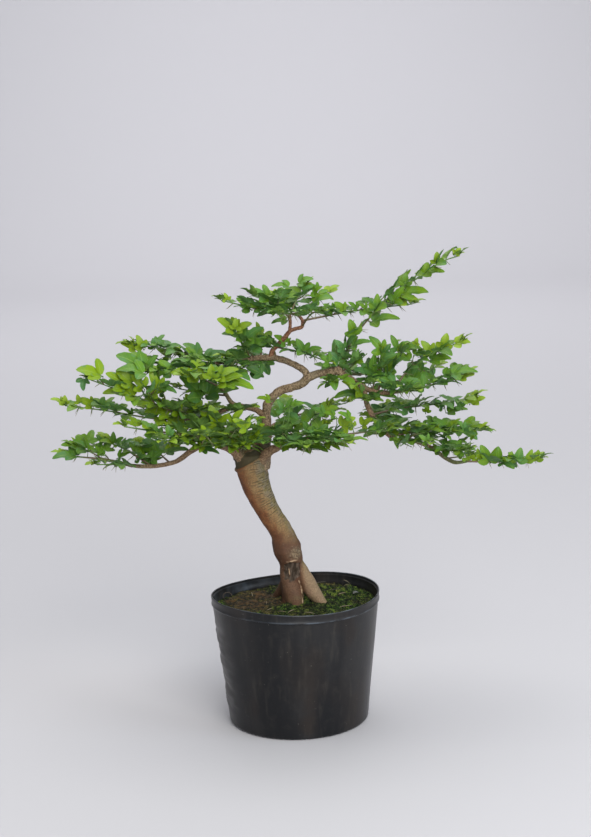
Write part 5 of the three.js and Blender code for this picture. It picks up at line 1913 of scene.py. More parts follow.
# Leaves that stand out at the edges of the pads: foot x, y, z, tip x and z, how far the blade turns from
# lying flat (0) to facing forwards (1), and its tone, where more than 1 is a young leaf.
SEEN: dict[str, tuple[tuple[float, ...], ...]] = {
    "riser": (
        (83, -14, 487, 77, 506, 0.75, 0.6), (103, -12, 503, 133, 509, 0.35, 0.62),
        (110, -17, 519, 109, 536, 0.75, 0.6), (128, -13, 527, 126, 536, 0.7, 0.55),
        (130, -17, 528, 140, 545, 0.5, 0.55), (139, -21, 536, 169, 541, 0.38, 0.7),
        (145, -17, 546, 146, 561, 0.8, 0.6), (166, -22, 560, 190, 567, 0.35, 0.66),
        (184, -19, 572, 183, 586, 0.7, 1.3), (205, -24, 583, 211, 590, 0.7, 2),
        (136, -19, 528, 157, 533, 0.4, 1.8)),
    "left_low": (
        (-263, 2, 348, -291, 352, 0.3, 0.3), (-252, 3, 353, -282, 361, 0.3, 0.52),
        (-233, 23, 356, -239, 368, 0.5, 0.25), (-220, 23, 355, -221, 371, 0.6, 0.3),
        (-217, 19, 356, -209, 366, 0.5, 0.3), (-210, 21, 354, -196, 361, 0.3, 0.25),
        (-189, 49, 341, -166, 350, 0.4, 0.28), (-234, -3, 348, -240, 358, 0.4, 0.5),
        (-214, 1, 342, -199, 350, 0.4, 0.45), (-192, 6, 337, -175, 343, 0.3, 0.4),
        (-153, 18, 343, -130, 347, 0.3, 0.3), (-173, 2, 338, -158, 349, 0.5, 0.3)),
    "second_left": (
        (-222, -53, 454, -250, 467, 0.4, 0.95), (-193, -46, 439, -214, 460, 0.45, 1),
        (-186, -48, 443, -202, 461, 0.6, 0.95), (-173, -48, 436, -186, 453, 0.55, 1),
        (-157, -38, 434, -166, 453, 0.55, 0.95), (-183, -48, 428, -217, 435, 0.3, 0.9),
        (-166, -37, 425, -143, 436, 0.4, 0.85), (-154, -38, 436, -134, 433, 0.3, 0.25),
        (-162, -40, 416, -183, 420, 0.35, 0.85), (-244, -52, 453, -247, 439, 0.6, -0.4),
        (-272, -16, 415, -273, 425, 0.7, 2), (-255, -17, 416, -257, 426, 0.6, 1.7),
        (-240, -11, 411, -253, 422, 0.5, 1.2), (-231, -13, 407, -226, 422, 0.7, 0.6),
        (-230, -8, 406, -217, 415, 0.4, 0.55), (-211, -10, 401, -219, 409, 0.4, 0.25),
        (-192, -13, 398, -201, 408, 0.4, 0.3), (-145, -26, 399, -172, 409, 0.35, 0.85),
        (-132, -21, 400, -147, 415, 0.5, 0.9), (-115, -5, 399, -125, 418, 0.5, 0.8),
        (-106, 12, 414, -131, 441, 0.45, 0.35), (-101, 8, 415, -64, 426, 0.35, 0.4),
        (-104, 14, 416, -112, 426, 0.6, 0.4)),
    "upper_left": (
        (-189, 52, 469, -206, 477, 0.45, 1.45), (-179, 47, 471, -187, 486, 0.6, 1.4),
        (-166, 50, 470, -169, 482, 0.6, 0.35), (-149, 76, 454, -163, 467, 0.5, 0.8),
        (-130, 62, 453, -141, 468, 0.5, 0.75), (-110, 35, 457, -123, 471, 0.5, 0.6),
        (-103, 30, 459, -78, 463, 0.35, 0.15), (-173, -33, 456, -203, 478, 0.4, 0.35),
        (-171, -36, 455, -202, 464, 0.3, 0.45), (-169, -31, 453, -159, 472, 0.5, 0.3),
        (-140, -13, 447, -154, 464, 0.5, 0.55), (-107, -35, 445, -137, 459, 0.4, 0.95),
        (-99, -13, 444, -109, 464, 0.55, 0.95), (-83, -72, 451, -62, 461, 0.4, 0.95),
        (-83, -75, 444, -57, 453, 0.4, 0.85), (-77, -62, 444, -44, 444, 0.35, 0.7),
        (-90, -73, 449, -89, 467, 0.6, 0.9), (-161, -26, 445, -143, 455, 0.4, 0.5)),
    "crown": (
        (-63, -13, 498, -81, 513, 0.45, 1.25), (-62, -16, 500, -60, 513, 0.7, 1.4),
        (-61, -11, 498, -45, 509, 0.5, 1.3), (-53, -8, 486, -74, 496, 0.35, 0.45),
        (-50, -10, 487, -32, 501, 0.5, 0.4), (-44, 10, 472, -21, 484, 0.5, 0.4),
        (-31, 28, 469, -37, 483, 0.6, 0.4), (-1, 12, 476, -14, 487, 0.5, 0.5),
        (0, 9, 476, 12, 480, 0.4, 0.55), (-50, 21, 457, -72, 470, 0.5, 0.12),
        (-39, 25, 447, -59, 460, 0.5, 0.1), (-32, 20, 438, -48, 451, 0.55, 0.12),
        (-36, 26, 458, -23, 440, 0.5, 0.12), (-46, 25, 442, -32, 433, 0.5, 0.1),
        (-25, 16, 452, -2, 459, 0.3, 0.25), (20, 3, 467, 15, 483, 0.5, 0.35),
        (22, -1, 467, 40, 473, 0.45, 0.35), (51, -16, 455, 38, 468, 0.5, 0.35),
        (63, -11, 454, 52, 467, 0.6, 0.15)),
    "apex": (
        (-42, -13, 523, -58, 537, 0.5, 0.35), (-29, -13, 521, -37, 534, 0.6, 0.35),
        (-20, -16, 536, -45, 548, 0.4, 0.6), (-19, -11, 535, -23, 549, 0.6, 0.65),
        (1, 31, 527, -7, 542, 0.6, 0.75), (6, 20, 545, -15, 549, 0.3, 0.45),
        (16, 21, 549, 34, 556, 0.4, 0.6), (21, 16, 540, 33, 547, 0.5, 0.4),
        (-70, -20, 535, -73, 545, 0.6, 1.8), (2, 7, 506, -17, 504, 0.3, 0.45),
        (40, 32, 535, 26, 548, 0.5, 0.45), (39, 37, 534, 58, 528, 0.35, 0.55),
        (35, 31, 536, 43, 545, 0.5, 0.55), (28, 24, 546, 21, 549, 0.5, 0.5),
        (58, 6, 515, 47, 525, 0.5, 0.4), (72, 5, 516, 61, 527, 0.5, 0.65),
        (88, 12, 516, 78, 525, 0.5, 0.35), (99, 11, 515, 90, 524, 0.5, 0.5)),
    "right": (
        (69, -15, 470, 60, 482, 0.6, 0.25), (78, -19, 475, 99, 482, 0.35, 0.55),
        (116, 2, 463, 102, 481, 0.5, 0.55), (118, -2, 462, 125, 473, 0.7, 0.15),
        (137, 22, 462, 130, 479, 0.6, 0.4), (140, 19, 463, 164, 466, 0.3, 0.5),
        (157, 0, 471, 159, 479, 0.6, 1.8), (176, 6, 459, 165, 474, 0.6, 1.2),
        (174, 2, 451, 200, 456, 0.35, 0.55), (192, 9, 465, 196, 482, 0.6, 1.5),
        (205, 6, 470, 223, 474, 0.4, 1.9), (197, -26, 439, 227, 443, 0.3, 0.4),
        (182, 39, 425, 165, 436, 0.5, 0.5), (188, -23, 436, 206, 440, 0.4, 0.45),
        (208, -28, 433, 225, 438, 0.4, 2), (87, -13, 414, 59, 417, 0.3, 0.4),
        (91, -16, 416, 68, 429, 0.4, 1.2), (98, -12, 411, 130, 414, 0.3, 0.6),
        (93, -14, 414, 89, 426, 0.6, 0.6), (130, -15, 427, 103, 435, 0.4, 0.35),
        (149, -3, 420, 135, 435, 0.5, 0.4), (165, -21, 422, 147, 435, 0.5, 0.3)),
    "cascade": (
        (147, 16, 387, 126, 395, 0.4, 0.15), (147, 21, 385, 154, 397, 0.6, 0.15),
        (170, 22, 382, 172, 393, 0.6, 0.85), (192, 28, 386, 183, 397, 0.5, 0.2),
        (202, 26, 385, 204, 396, 0.6, 0.15), (215, 24, 386, 209, 400, 0.6, 0.2),
        (226, 30, 390, 230, 403, 0.6, 1.8), (231, 27, 392, 244, 398, 0.4, 1.9),
        (197, 29, 380, 220, 383, 0.3, 0.5), (118, 36, 379, 104, 392, 0.5, 0.12),
        (117, -18, 368, 91, 368, 0.3, 0.6), (124, -11, 364, 133, 378, 0.5, 0.85),
        (147, -6, 363, 143, 375, 0.6, 0.85), (156, -6, 361, 165, 372, 0.5, 0.45),
        (214, 5, 360, 250, 360, 0.3, 0.6), (216, 2, 363, 207, 373, 0.5, 0.4),
        (185, 7, 361, 180, 373, 0.5, 0.4), (164, -78, 365, 155, 376, 0.5, 0.6),
        (186, -33, 348, 203, 358, 0.4, 0.25), (200, -47, 347, 220, 354, 0.4, 0.4),
        (183, -6, 338, 167, 344, 0.4, 0.6), (223, 2, 324, 216, 340, 0.75, 0.9),
        (233, 3, 323, 230, 337, 0.75, 0.85), (247, 2, 321, 238, 342, 0.8, 0.6),
        (249, 1, 321, 254, 340, 0.8, 0.8), (258, 3, 320, 256, 339, 0.8, 0.5),
        (268, 2, 321, 273, 334, 0.75, 0.85), (279, 3, 320, 286, 338, 0.8, 0.55),
        (290, 2, 320, 296, 335, 0.8, 0.85), (304, 4, 319, 305, 333, 0.75, 0.8),
        (312, 4, 319, 334, 327, 0.35, 0.35), (79, -17, 374, 72, 384, 0.6, 1.5),
        (88, -19, 376, 101, 385, 0.5, 1.3)),
    "left_front": (
        (-163, -68, 383, -175, 400, 0.45, 0.3), (-157, -61, 379, -165, 394, 0.5, 0.3),
        (-142, -96, 386, -145, 400, 0.5, 0.35), (-99, -84, 384, -116, 393, 0.4, 0.98),
        (-87, -38, 386, -95, 410, 0.5, 1), (-68, -74, 395, -58, 411, 0.5, 1),
        (-50, -83, 389, -63, 404, 0.5, 0.98), (-43, -41, 376, -31, 388, 0.45, 0.9),
        (-61, -32, 368, -88, 374, 0.4, 0.9), (-50, -34, 367, -34, 373, 0.4, 0.85),
        (-79, -38, 365, -101, 364, 0.35, 0.75), (-93, -32, 364, -111, 359, 0.3, 0.6),
        (-66, -35, 364, -54, 361, 0.4, 0.85), (-106, -43, 360, -88, 358, 0.25, 0.2),
        (-131, -68, 373, -144, 370, 0.35, 0.7), (-127, -62, 374, -111, 370, 0.35, 0.7)),
    "centre": (
        (-22, -33, 413, -37, 419, 0.35, 0.75), (-6, -37, 401, -12, 415, 0.6, 0.25),
        (-3, -40, 405, 17, 411, 0.4, 0.3), (12, -33, 388, -11, 391, 0.35, 0.25),
        (3, -82, 415, 17, 420, 0.35, 0.45), (43, -45, 397, 29, 405, 0.4, 0.25),
        (56, -40, 393, 43, 400, 0.4, 0.55), (73, -62, 394, 60, 403, 0.4, 0.5),
        (24, -32, 372, 20, 387, 0.6, 0.2), (33, -47, 368, 47, 384, 0.6, 0.2),
        (10, -43, 361, -8, 358, 0.3, 0.8), (28, -43, 362, 10, 356, 0.3, 0.8),
        (41, -52, 364, 61, 357, 0.3, 0.85), (55, -52, 372, 73, 369, 0.3, 0.6),
        (50, -64, 366, 68, 364, 0.3, 0.75), (15, -53, 360, 43, 356, 0.25, 0.55),
        (62, -55, 382, 78, 394, 0.5, 1.5), (-3, -36, 357, -7, 354, 0.3, 0.5),
        (9, -39, 362, -10, 357, 0.3, 0.7), (29, -43, 360, 10, 355, 0.3, 0.8),
        (-20, -37, 370, -5, 363, 0.4, 0.6)),
}

# How green or olive the leaves of a pad are: 0 is deep green and 1 is olive. The left_front pad's high
# tone is partly its own colour and partly painted light: its olive stands in for the brighter light it
# gets.
PAD_TONE = {
    "apex": 0.42, "riser": 0.52, "crown": 0.30, "upper_left": 0.44, "second_left": 0.56,
    "left_front": 0.95, "left_low": 0.46, "centre": 0.42, "back": 0.34, "right": 0.46, "cascade": 0.50}


@dataclass
class Leaf:
    """One trifoliate leaf: where its foot is, which way it points, and how old it is."""

    FRAME: ClassVar[tuple[str, ...]] = ("base", "out", "side", "up")

    base: Array
    out: Array
    side: Array
    up: Array
    length: float
    youth: float
    tone: float
    key: float


def gathered(leaves: Sequence[Leaf], part: str) -> Array:
    """One part of every leaf, in order."""
    return np.array([getattr(leaf, part) for leaf in leaves])


@dataclass(frozen=True)
class Leaflet:
    """The form of one leaflet, in shares of the end leaflet's length."""

    angle: float
    start: float
    length: float
    half_width: float
    rise: tuple[float, float, float]
    rows: int
    columns: int = 5


@dataclass(frozen=True)
class LeafForm:
    """The three leaflets, and how thick, folded and wavy a blade is."""

    petiole: float = 3.5
    thick: float = 0.34
    fold: float = 0.24
    ruffle: float = 0.10
    notch: float = 0.015
    leaflets: tuple[Leaflet, ...] = (
        Leaflet(0.0, 0.05, 0.97, 0.245, (0.01, 0.07, -0.06), 8),
        Leaflet(math.radians(58.0), 0.03, 0.66, 0.195, (0.01, 0.12, 0.20), 7),
        Leaflet(math.radians(-58.0), 0.03, 0.66, 0.195, (0.01, 0.12, 0.20), 7))
    spots: tuple[Point, ...] = (
        (0.34, 0.0, 0.05), (0.78, 0.0, 0.0), (0.22, 0.33, 0.14), (0.22, -0.33, 0.14))

    def bent(self, form: Leaflet, leaves: Sequence[Leaf], u: Array, v: Array) -> tuple[Array, ...]:
        """How one leaflet of every leaf lies in its leaf's own frame.

        Its width follows sin(pi u^0.88)^0.58, widest just under the middle; its height is a parabola
        through the three rises, with a V fold along the midrib and a ruffle along the margin.

        Args:
            form: the leaflet.
            leaves: the leaves.
            u: (1, rows, 1) places along the midrib, from 0 to 1.
            v: (1, 1, columns) places across, from -1 to 1.

        Returns:
            Millimetres ahead, sideways and up, and half the blade's thickness.
        """
        key = gathered(leaves, "key")[:, None, None] + form.angle
        length = gathered(leaves, "length")[:, None, None]
        young = gathered(leaves, "youth")[:, None, None]
        across = np.sin(np.pi * np.clip(u, 0.0, 1.0) ** 0.88) ** 0.58 + 0.05
        across = across * (1.0 + 0.05 * np.sin(17.0 * u + PHASE * draw(key, 61)) * v)
        half = form.half_width * (0.86 + 0.24 * draw(key, 62) + 0.3 * young) * across
        reach = form.length * (0.93 + 0.14 * draw(key, 63))
        notch = self.notch * np.exp(-(1.0 - u) / 0.10) * (1.0 - np.abs(v)) ** 1.5
        angle = form.angle + 0.28 * (draw(key, 64) - 0.5)
        bend = 0.10 * (draw(key, 65) - 0.5) * u ** 2
        along, side = form.start + reach * u - notch, half * v + bend
        low, middle, high = form.rise
        droop = 0.16 * (draw(key, 66) - 0.9)
        rise = low + (4 * middle - 3 * low - high) * u + (2 * low + 2 * high - 4 * middle) * u ** 2
        rise = rise + droop * u ** 2
        rise = rise + (self.fold + 0.14 * (draw(key, 67) - 0.5)) * np.abs(v) * half
        rise = rise + self.ruffle * v ** 2 * half * np.sin(12.0 * u + PHASE * draw(key, 68) + v)
        x = self.petiole + length * (np.cos(angle) * along - np.sin(angle) * side)
        y = length * (np.sin(angle) * along + np.cos(angle) * side)
        lens = self.thick / 2 * (1.0 - v ** 2) * np.sin(np.pi * np.clip(u, 0.02, 0.98)) ** 0.5
        return x, y, length * rise, lens

    def blade(self, form: Leaflet, leaves: Sequence[Leaf]) -> Surface:
        """One leaflet of every leaf. Its upper and lower faces share their margin and part inside it.

        Args:
            form: the leaflet.
            leaves: the leaves.

        Returns:
            The blades, two faces each.
        """
        rows, columns = form.rows, form.columns
        u = (0.5 - 0.5 * np.cos(np.pi * np.linspace(0.0, 1.0, rows)))[None, :, None]
        v = np.linspace(-1.0, 1.0, columns)[None, None, :]
        x, y, z, lens = self.bent(form, leaves, u, v)
        base, out, side, up = (gathered(leaves, part)[:, None, None] for part in Leaf.FRAME)
        face = base + out * x[..., None] + side * y[..., None]
        count, size = len(leaves), rows * columns
        inner = np.zeros((rows, columns), bool)
        inner[1:-1, 1:-1] = True
        inside = inner.ravel()
        upper = (face + up * (z + lens)[..., None]).reshape(count, size, 3)
        lower = (face + up * (z - lens)[..., None]).reshape(count, size, 3)[:, inside]
        points = np.concatenate([upper, lower], axis=1)
        below = np.arange(size)
        below[inside] = size + np.arange(inside.sum())
        quads = sheet_faces(rows, columns)
        shape = np.concatenate([quads[:, ::-1], below[quads]])
        each = points.shape[1]
        faces = (shape[None] + each * np.arange(count)[:, None, None]).reshape(-1, 4)
        flat = np.stack(np.broadcast_arrays(u[0], v[0]), axis=-1).reshape(size, 2)
        rim = np.concatenate([~inside, np.zeros(inside.sum(), bool)])
        return Surface(
            points.reshape(-1, 3), faces,
            {number: np.repeat(gathered(leaves, number), each) for number in ("tone", "youth")},
            {"under": np.tile(np.repeat([0.0, 1.0], len(quads)), count)},
            np.zeros(len(faces), int), np.tile(np.concatenate([flat, flat[inside]]), (count, 1)),
            np.tile(rim, count))

    def stalks(self, leaves: Sequence[Leaf]) -> Surface:
        """A four-sided stalk for every leaf, from inside the stem to where the leaflets meet.

        Args:
            leaves: the leaves.

        Returns:
            The stalks.
        """
        length = gathered(leaves, "length")[:, None]
        base, out, side, up = (gathered(leaves, part) for part in Leaf.FRAME)
        meeting = base + out * (self.petiole + 0.09 * length) + up * 0.012 * length
        ends = np.stack([base + out * 0.3, meeting], axis=1)
        turn = (np.arange(4) * np.pi / 2 + np.pi / 4)[None, None, :, None]
        ring = np.cos(turn) * side[:, None, None] + np.sin(turn) * up[:, None, None]
        size = np.stack([0.028 * length + 0.05, 0.022 * length], axis=1)[..., None]
        points = (ends[:, :, None] + ring * size).reshape(-1, 3)
        shape = np.concatenate([sheet_faces(2, 4, True), [[3, 2, 1, 0], [4, 5, 6, 7]]])
        faces = (shape[None] + 8 * np.arange(len(leaves))[:, None, None]).reshape(-1, 4)
        return Surface(points, faces, {"age": np.full(len(points), 0.1)}, looks=np.ones(len(faces), int))

    def surface(self, leaves: Sequence[Leaf]) -> Surface:
        """All the leaves."""
        return Surface.join([self.blade(form, leaves) for form in self.leaflets] + [self.stalks(leaves)])

    def middles(self, leaf: Leaf) -> Array:
        """Four places that stand for a leaf when its room is looked for."""
        return np.array([
            leaf.base + leaf.out * (self.petiole + x * leaf.length) + leaf.side * y * leaf.length
            + leaf.up * z * leaf.length for x, y, z in self.spots])

    def tip(self, leaf: Leaf) -> Array:
        """Where the end leaflet ends."""
        return leaf.base + leaf.out * (self.petiole + leaf.length)


@dataclass
class Node:
    """A place on a shoot that may carry a leaf and a spine."""

    key: float
    share: float
    sign: int
    from_tip: int
    base: Array
    tangent: Array
    left: Array
    up: Array


@dataclass
class Shoot:
    """A leafy shoot: the line of its stem, and its nodes, laid out as in the model."""

    number: float
    line: Line
    spacing: float = 15.0
    bare_foot: float = 14.0
    least: int = 2
    tip_bare: float = 1.2
    petiole_width: float = 1.3
    stem_step: float = 26.0
    leaf_length: float = 28.0
    spine_length: float = 11.0
    node_swell: float = 0.28
    foot_radius: float = 1.35
    tip_radius: float = 0.7
    freshness: float = 1.0
    nodes: list[Node] = field(default_factory=list)

    def __post_init__(self) -> None:
        """Spaces the nodes and carries a frame along the stem, from the tip back."""
        length, run = self.line.length, self.line.length - self.bare_foot
        count = max(self.least, round(run / self.spacing))
        half = self.petiole_width / 2 / length
        plan, shares = [], [0.0]
        for k in range(count):
            share = 1.0 - (self.tip_bare + run * ((count - 1 - k) / count)) / length
            last = shares[-1]
            spare = math.floor(((share - last) * length) / self.stem_step)
            shares += [last + (share - last) * i / (spare + 1) for i in range(1, spare + 1)]
            plan.append((k, share, len(shares)))
            shares += [share - half, share + half]
        tangents = self.line.tangent(np.array(shares))
        up, frames = UP.copy(), {}
        for ring in range(len(shares) - 1, -1, -1):
            up = unit(up - tangents[ring] * (up @ tangents[ring]))
            frames[ring] = (tangents[ring], np.cross(up, tangents[ring]), up)
        for k, share, ring in plan:
            sign = 1 if (self.number + k) % 2 else -1
            base = self.line.at(share)[0]
            node = Node(self.number * 31 + k, share, sign, count - 1 - k, base, *frames[ring])
            self.nodes.append(node)

    def leaf(
            self, node: Node, attempt: int, tone: float, flip: int = 1, size: float = 1.0,
            salt: float = 0.0) -> Leaf:
        """The leaf that a node has at the n-th try: alternate along the shoot, and ahead at its tip.

        Args:
            node: where it grows.
            attempt: the number of the try.
            tone: the pad's colour.
            flip: -1 puts it on the other side.
            size: a share of the full size.
            salt: another number gives another leaf.

        Returns:
            The leaf.
        """
        def vary(span: float, mark: float) -> float:
            """A draw within a span around 0."""
            return span * (draw(node.key, mark + salt + 10 * attempt) - 0.5)

        tip = node.from_tip == 0
        swing = (0.2 if tip else 0.98) + vary(0.5 + 0.1 * attempt, 1)
        lift = (0.25 if tip else 0.5) + vary(0.4 + 0.12 * attempt, 2)
        roll = vary(0.6 + 0.15 * attempt, 3)
        out = node.tangent * (math.cos(swing) * math.cos(lift)) + node.up * math.sin(lift)
        out = out + node.left * (node.sign * flip * math.sin(swing) * math.cos(lift))
        level = unit(np.cross(node.up, out))
        side = level * math.cos(roll) + np.cross(out, level) * math.sin(roll)
        young = 0.5 + 0.5 * float(smooth(node.from_tip, -0.6, 2.4))
        length = self.leaf_length * young * (0.9 + 0.24 * draw(node.key, 4 + salt))
        length = length * (1 - 0.03 * attempt) * size
        youth = 0.75 - 0.42 * node.from_tip + 0.3 * (draw(node.key, 9 + salt) - 0.5)
        youth = float(np.clip(youth, 0.0, 1.0)) * self.freshness
        shade = tone + 0.42 * (draw(node.key, 8 + salt) - 0.5)
        return Leaf(node.base, out, side, np.cross(out, side), length, youth, shade, node.key + salt)

    def spine(self, node: Node, attempt: int) -> tuple[Array, float]:
        """A node's spine at the n-th try.

        Args:
            node: where it grows.
            attempt: the number of the try.

        Returns:
            Its direction and its length.
        """
        lean = node.sign * (0.5 + 0.5 * draw(node.key, 5 + 10 * attempt))
        ahead = 0.3 + 0.8 * (draw(node.key, 6 + 10 * attempt) - 0.5)
        length = self.spine_length * (0.8 + 0.35 * draw(node.key, 7))
        return unit(-node.up + node.left * lean + node.tangent * ahead), length

    def stem(self, sides: int = 6) -> Surface:
        """The green stem, a little thicker at every node.

        Args:
            sides: how many sides it has round its section.

        Returns:
            The stem.
        """
        share = np.linspace(0.0, 1.0, max(4, int(self.line.length / 4.0)))
        radii = self.foot_radius + (self.tip_radius - self.foot_radius) * share
        swell = np.zeros_like(share)
        for node in self.nodes:
            away = (share - node.share) * self.line.length
            swell = swell + self.node_swell * np.exp(-(away / 1.8) ** 2)
        made = tube(self.line.at(share), self.line.tangent(share), radii * (1 + swell), sides, look=1)
        made.values = {"age": np.concatenate([np.repeat(1 - share, sides), [1.0, 0.0]])}
        return made


FILLER_FORM = {
    "spacing": 11.0, "bare_foot": 8.0, "foot_radius": 1.1, "tip_radius": 0.55, "freshness": 0.35}
TWIG_FORM = {
    "spacing": 8.0, "bare_foot": 4.0, "leaf_length": 25.0, "foot_radius": 0.85, "tip_radius": 0.45,
    "freshness": 0.30}


@dataclass
class Foliage:
    """All the shoots: the model's own, in the same poses, and the twigs, leaves and spines between."""

    wood: TreeWood
    frame: dict[str, Any]
    form: LeafForm = field(default_factory=LeafForm)
    poses: int = 8
    match: float = 0.35
    room: float = 0.25
    edge_room: float = 0.15
    box_room: float = 3.0
    shifts: tuple[float, ...] = (0.0, -5.0, 5.0, -10.0, 10.0, -15.0)
    longest_stalk: float = 34.0
    least_leaf: float = 9.0
    level_pads: tuple[str, ...] = ("left_low", "centre")
    second_share: float = 0.85
    twig_spacing: float = 6.8
    rosette_leaves: int = 4
    spine_marks: tuple[float, ...] = (0.0, 0.35, 0.75, 1.0)
    spine_radii: tuple[float, ...] = (0.62, 0.44, 0.24, 0.05)
    leaves: dict[str, list[Leaf]] = field(default_factory=dict)
    others: dict[str, list[Surface]] = field(default_factory=dict)
    lines: dict[str, Line] = field(default_factory=dict)

    def __post_init__(self) -> None:
        """Starts the pads empty."""
        self.lines = dict(self.wood.lines)
        self.taken = np.empty((0, 3))
        self.sizes = np.empty(0)
        for pad in SHOOTS:
            self.leaves[pad], self.others[pad] = [], []
        self.low, self.high = (np.array(corner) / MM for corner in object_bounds())

    def sagged(self, leaf: Leaf, angle: float) -> Leaf:
        """The leaf after it has sunk about its foot by an angle."""
        out = leaf.out * math.cos(angle) - leaf.up * math.sin(angle)
        return replace(leaf, out=out, up=np.cross(out, leaf.side))

    def has_room(self, leaf: Leaf, room: float) -> bool:
        """Whether a leaf keeps clear of the others and stays inside the model's box.

        Args:
            leaf: the leaf.
            room: the least gap between two middles, as a share of the two leaves' mean length.

        Returns:
            True if it does.
        """
        tip = self.form.tip(leaf)
        if np.any(tip < self.low - self.box_room) or np.any(tip > self.high + self.box_room):
            return False
        gap = np.linalg.norm(self.taken[None] - self.form.middles(leaf)[:, None], axis=2)
        return bool(np.all(gap > room * (self.sizes + leaf.length)[None] / 2))

    def in_gap(self, leaf: Leaf) -> bool:
        """Whether the camera would see a leaf in one of the gaps between the pads."""
        eye = np.array(Studio.place)
        spot = self.form.middles(leaf).mean(axis=0)
        x, _, z = eye + (spot - eye) * (eye[1] / (eye[1] - spot[1]))
        return bool(np.any((GAPS[:, 0] < x) & (x < GAPS[:, 1]) & (GAPS[:, 2] < z) & (z < GAPS[:, 3])))

    def add(self, pad: str, leaf: Leaf) -> None:
        """Keeps a leaf."""
        spots = self.form.middles(leaf)
        self.leaves[pad].append(leaf)
        self.taken = np.vstack([self.taken, spots])
        self.sizes = np.concatenate([self.sizes, np.full(len(spots), leaf.length)])

    def offer(self, pad: str, shoot: Shoot, node: Node, flip: int, size: float, salt: float) -> None:
        """Adds a leaf at a node in the first pose that has room, if there is one.

        Args:
            pad: the pad that it belongs to.
            shoot: the shoot that it grows on.
            node: its place on the shoot.
            flip: -1 puts it on the other side.
            size: a share of the full size.
            salt: another number gives another leaf.
        """
        sag = 0.16 if pad in self.level_pads else 0.45 if flip < 0 else 0.25
        for attempt in range(self.poses):
            leaf = shoot.leaf(node, attempt, PAD_TONE[pad], flip, size, salt)
            leaf = self.sagged(leaf, 0.14 + sag * draw(node.key, 84 + salt))
            if self.has_room(leaf, self.room) and not self.in_gap(leaf):
                self.add(pad, leaf)
                break

    def spines(self, pad: str, node: Node, direction: Array, length: float, foot: float) -> None:
        """Adds a pair of spines, the second nearly a mirror image of the first across the stem.

        Args:
            pad: the pad that they belong to.
            node: where they grow.
            direction: where the first one points.
            length: how far it stands out of the stem.
            foot: the stem's radius.
        """
        marks = np.array(self.spine_marks)
        radii = np.array(self.spine_radii) * (0.6 + 0.4 * foot / Shoot.foot_radius)
        other = direction - 1.7 * node.left * (direction @ node.left) + 0.12 * node.tangent
        for way, share in ((direction, 1.0), (unit(other), 0.86)):
            points = node.base + way * (marks * (foot + length * share))[:, None]
            made = tube(points, np.tile(way, (len(marks), 1)), radii, 4, look=1)
            tip = np.concatenate([np.repeat(marks, 4), [0.0, 1.0]])
            made.values = {"spine": np.ones(len(made.points)), "tip": tip}
            self.others[pad].append(made)

    def follow_model(self) -> list[tuple[str, Shoot]]:
        """Rebuilds the model's own shoots.

        A leaf or a spine is kept in the try whose tip the node's mesh has.

        Returns:
            Each shoot with its pad.
        """
        shoots, spines = [], 0
        for pad, group in SHOOTS.items():
            for name, (limb, at, route) in group.items():
                self.lines[name] = Line([self.wood.lines[limb].at(at)[0], *route])
                shoot = Shoot(len(shoots), self.lines[name])
                corners = mesh_points(self.frame["nodes"]["spray_" + name].data)
                for node in shoot.nodes:
                    leaf = self.matched_leaf(shoot, node, corners, PAD_TONE[pad])
                    if leaf:
                        sag = (0.24 + 0.22 * draw(node.key, 85)) * min(node.from_tip, 1)
                        self.add(pad, self.sagged(leaf, sag))
                    spine = self.matched_spine(shoot, node, corners)
                    if spine:
                        self.spines(pad, node, *spine, shoot.foot_radius)
                        spines += 1
                shoots.append((pad, shoot))
        log.info("leaves and spines found in the model: %d and %d", self.leaf_count(), spines)
        return shoots

    def leaf_count(self) -> int:
        """How many leaves there are so far."""
        return sum(len(leaves) for leaves in self.leaves.values())

    def matched_leaf(self, shoot: Shoot, node: Node, corners: Array, tone: float) -> Leaf | None:
        """The model's leaf at a node.

        Args:
            shoot: the shoot.
            node: the place on it.
            corners: (n, 3) points of the model's mesh.
            tone: the pad's colour.

        Returns:
            The leaf, or None where the model has none.
        """
        for attempt in range(self.poses):
            leaf = shoot.leaf(node, attempt, tone)
            tip = self.form.tip(leaf) + leaf.up * (0.35 - 0.06 * leaf.length)
            if np.min(np.linalg.norm(corners - tip, axis=1)) < self.match:
                return leaf
        return None

    def matched_spine(self, shoot: Shoot, node: Node, corners: Array) -> tuple[Array, float] | None:
        """The model's spine at a node.

        Args:
            shoot: the shoot.
            node: the place on it.
            corners: (n, 3) points of the model's mesh.

        Returns:
            Its direction and length, or None where the model has none.
        """
        for attempt in range(self.poses):
            direction, length = shoot.spine(node, attempt)
            tip = node.base + direction * (shoot.foot_radius + length)
            if np.min(np.linalg.norm(corners - tip, axis=1)) < self.match:
                return direction, length
        return None

    def seen_leaf(self, row: tuple[float, ...], shift: float, key: float) -> Leaf:
        """A leaf of the SEEN table.

        Args:
            row: its row in the table.
            shift: how far it is moved to the back.
            key: its own number.

        Returns:
            The leaf.
        """
        x, y, z, tip_x, tip_z, facing, tone = row
        reach = np.array([tip_x - x, -4.0, tip_z - z])
        out = unit(reach)
        level = UP * (1 - facing) - np.array([0.0, facing, 0.0])
        up = unit(level - out * (level @ out))
        length = max(1.06 * np.linalg.norm(reach) - 0.4 * self.form.petiole, self.least_leaf)
        foot = np.array([x, y + shift, z]) - out * 0.6 * self.form.petiole
        return Leaf(foot, out, np.cross(up, out), up, length, max(tone - 1.0, 0.0), min(tone, 1.0), key)

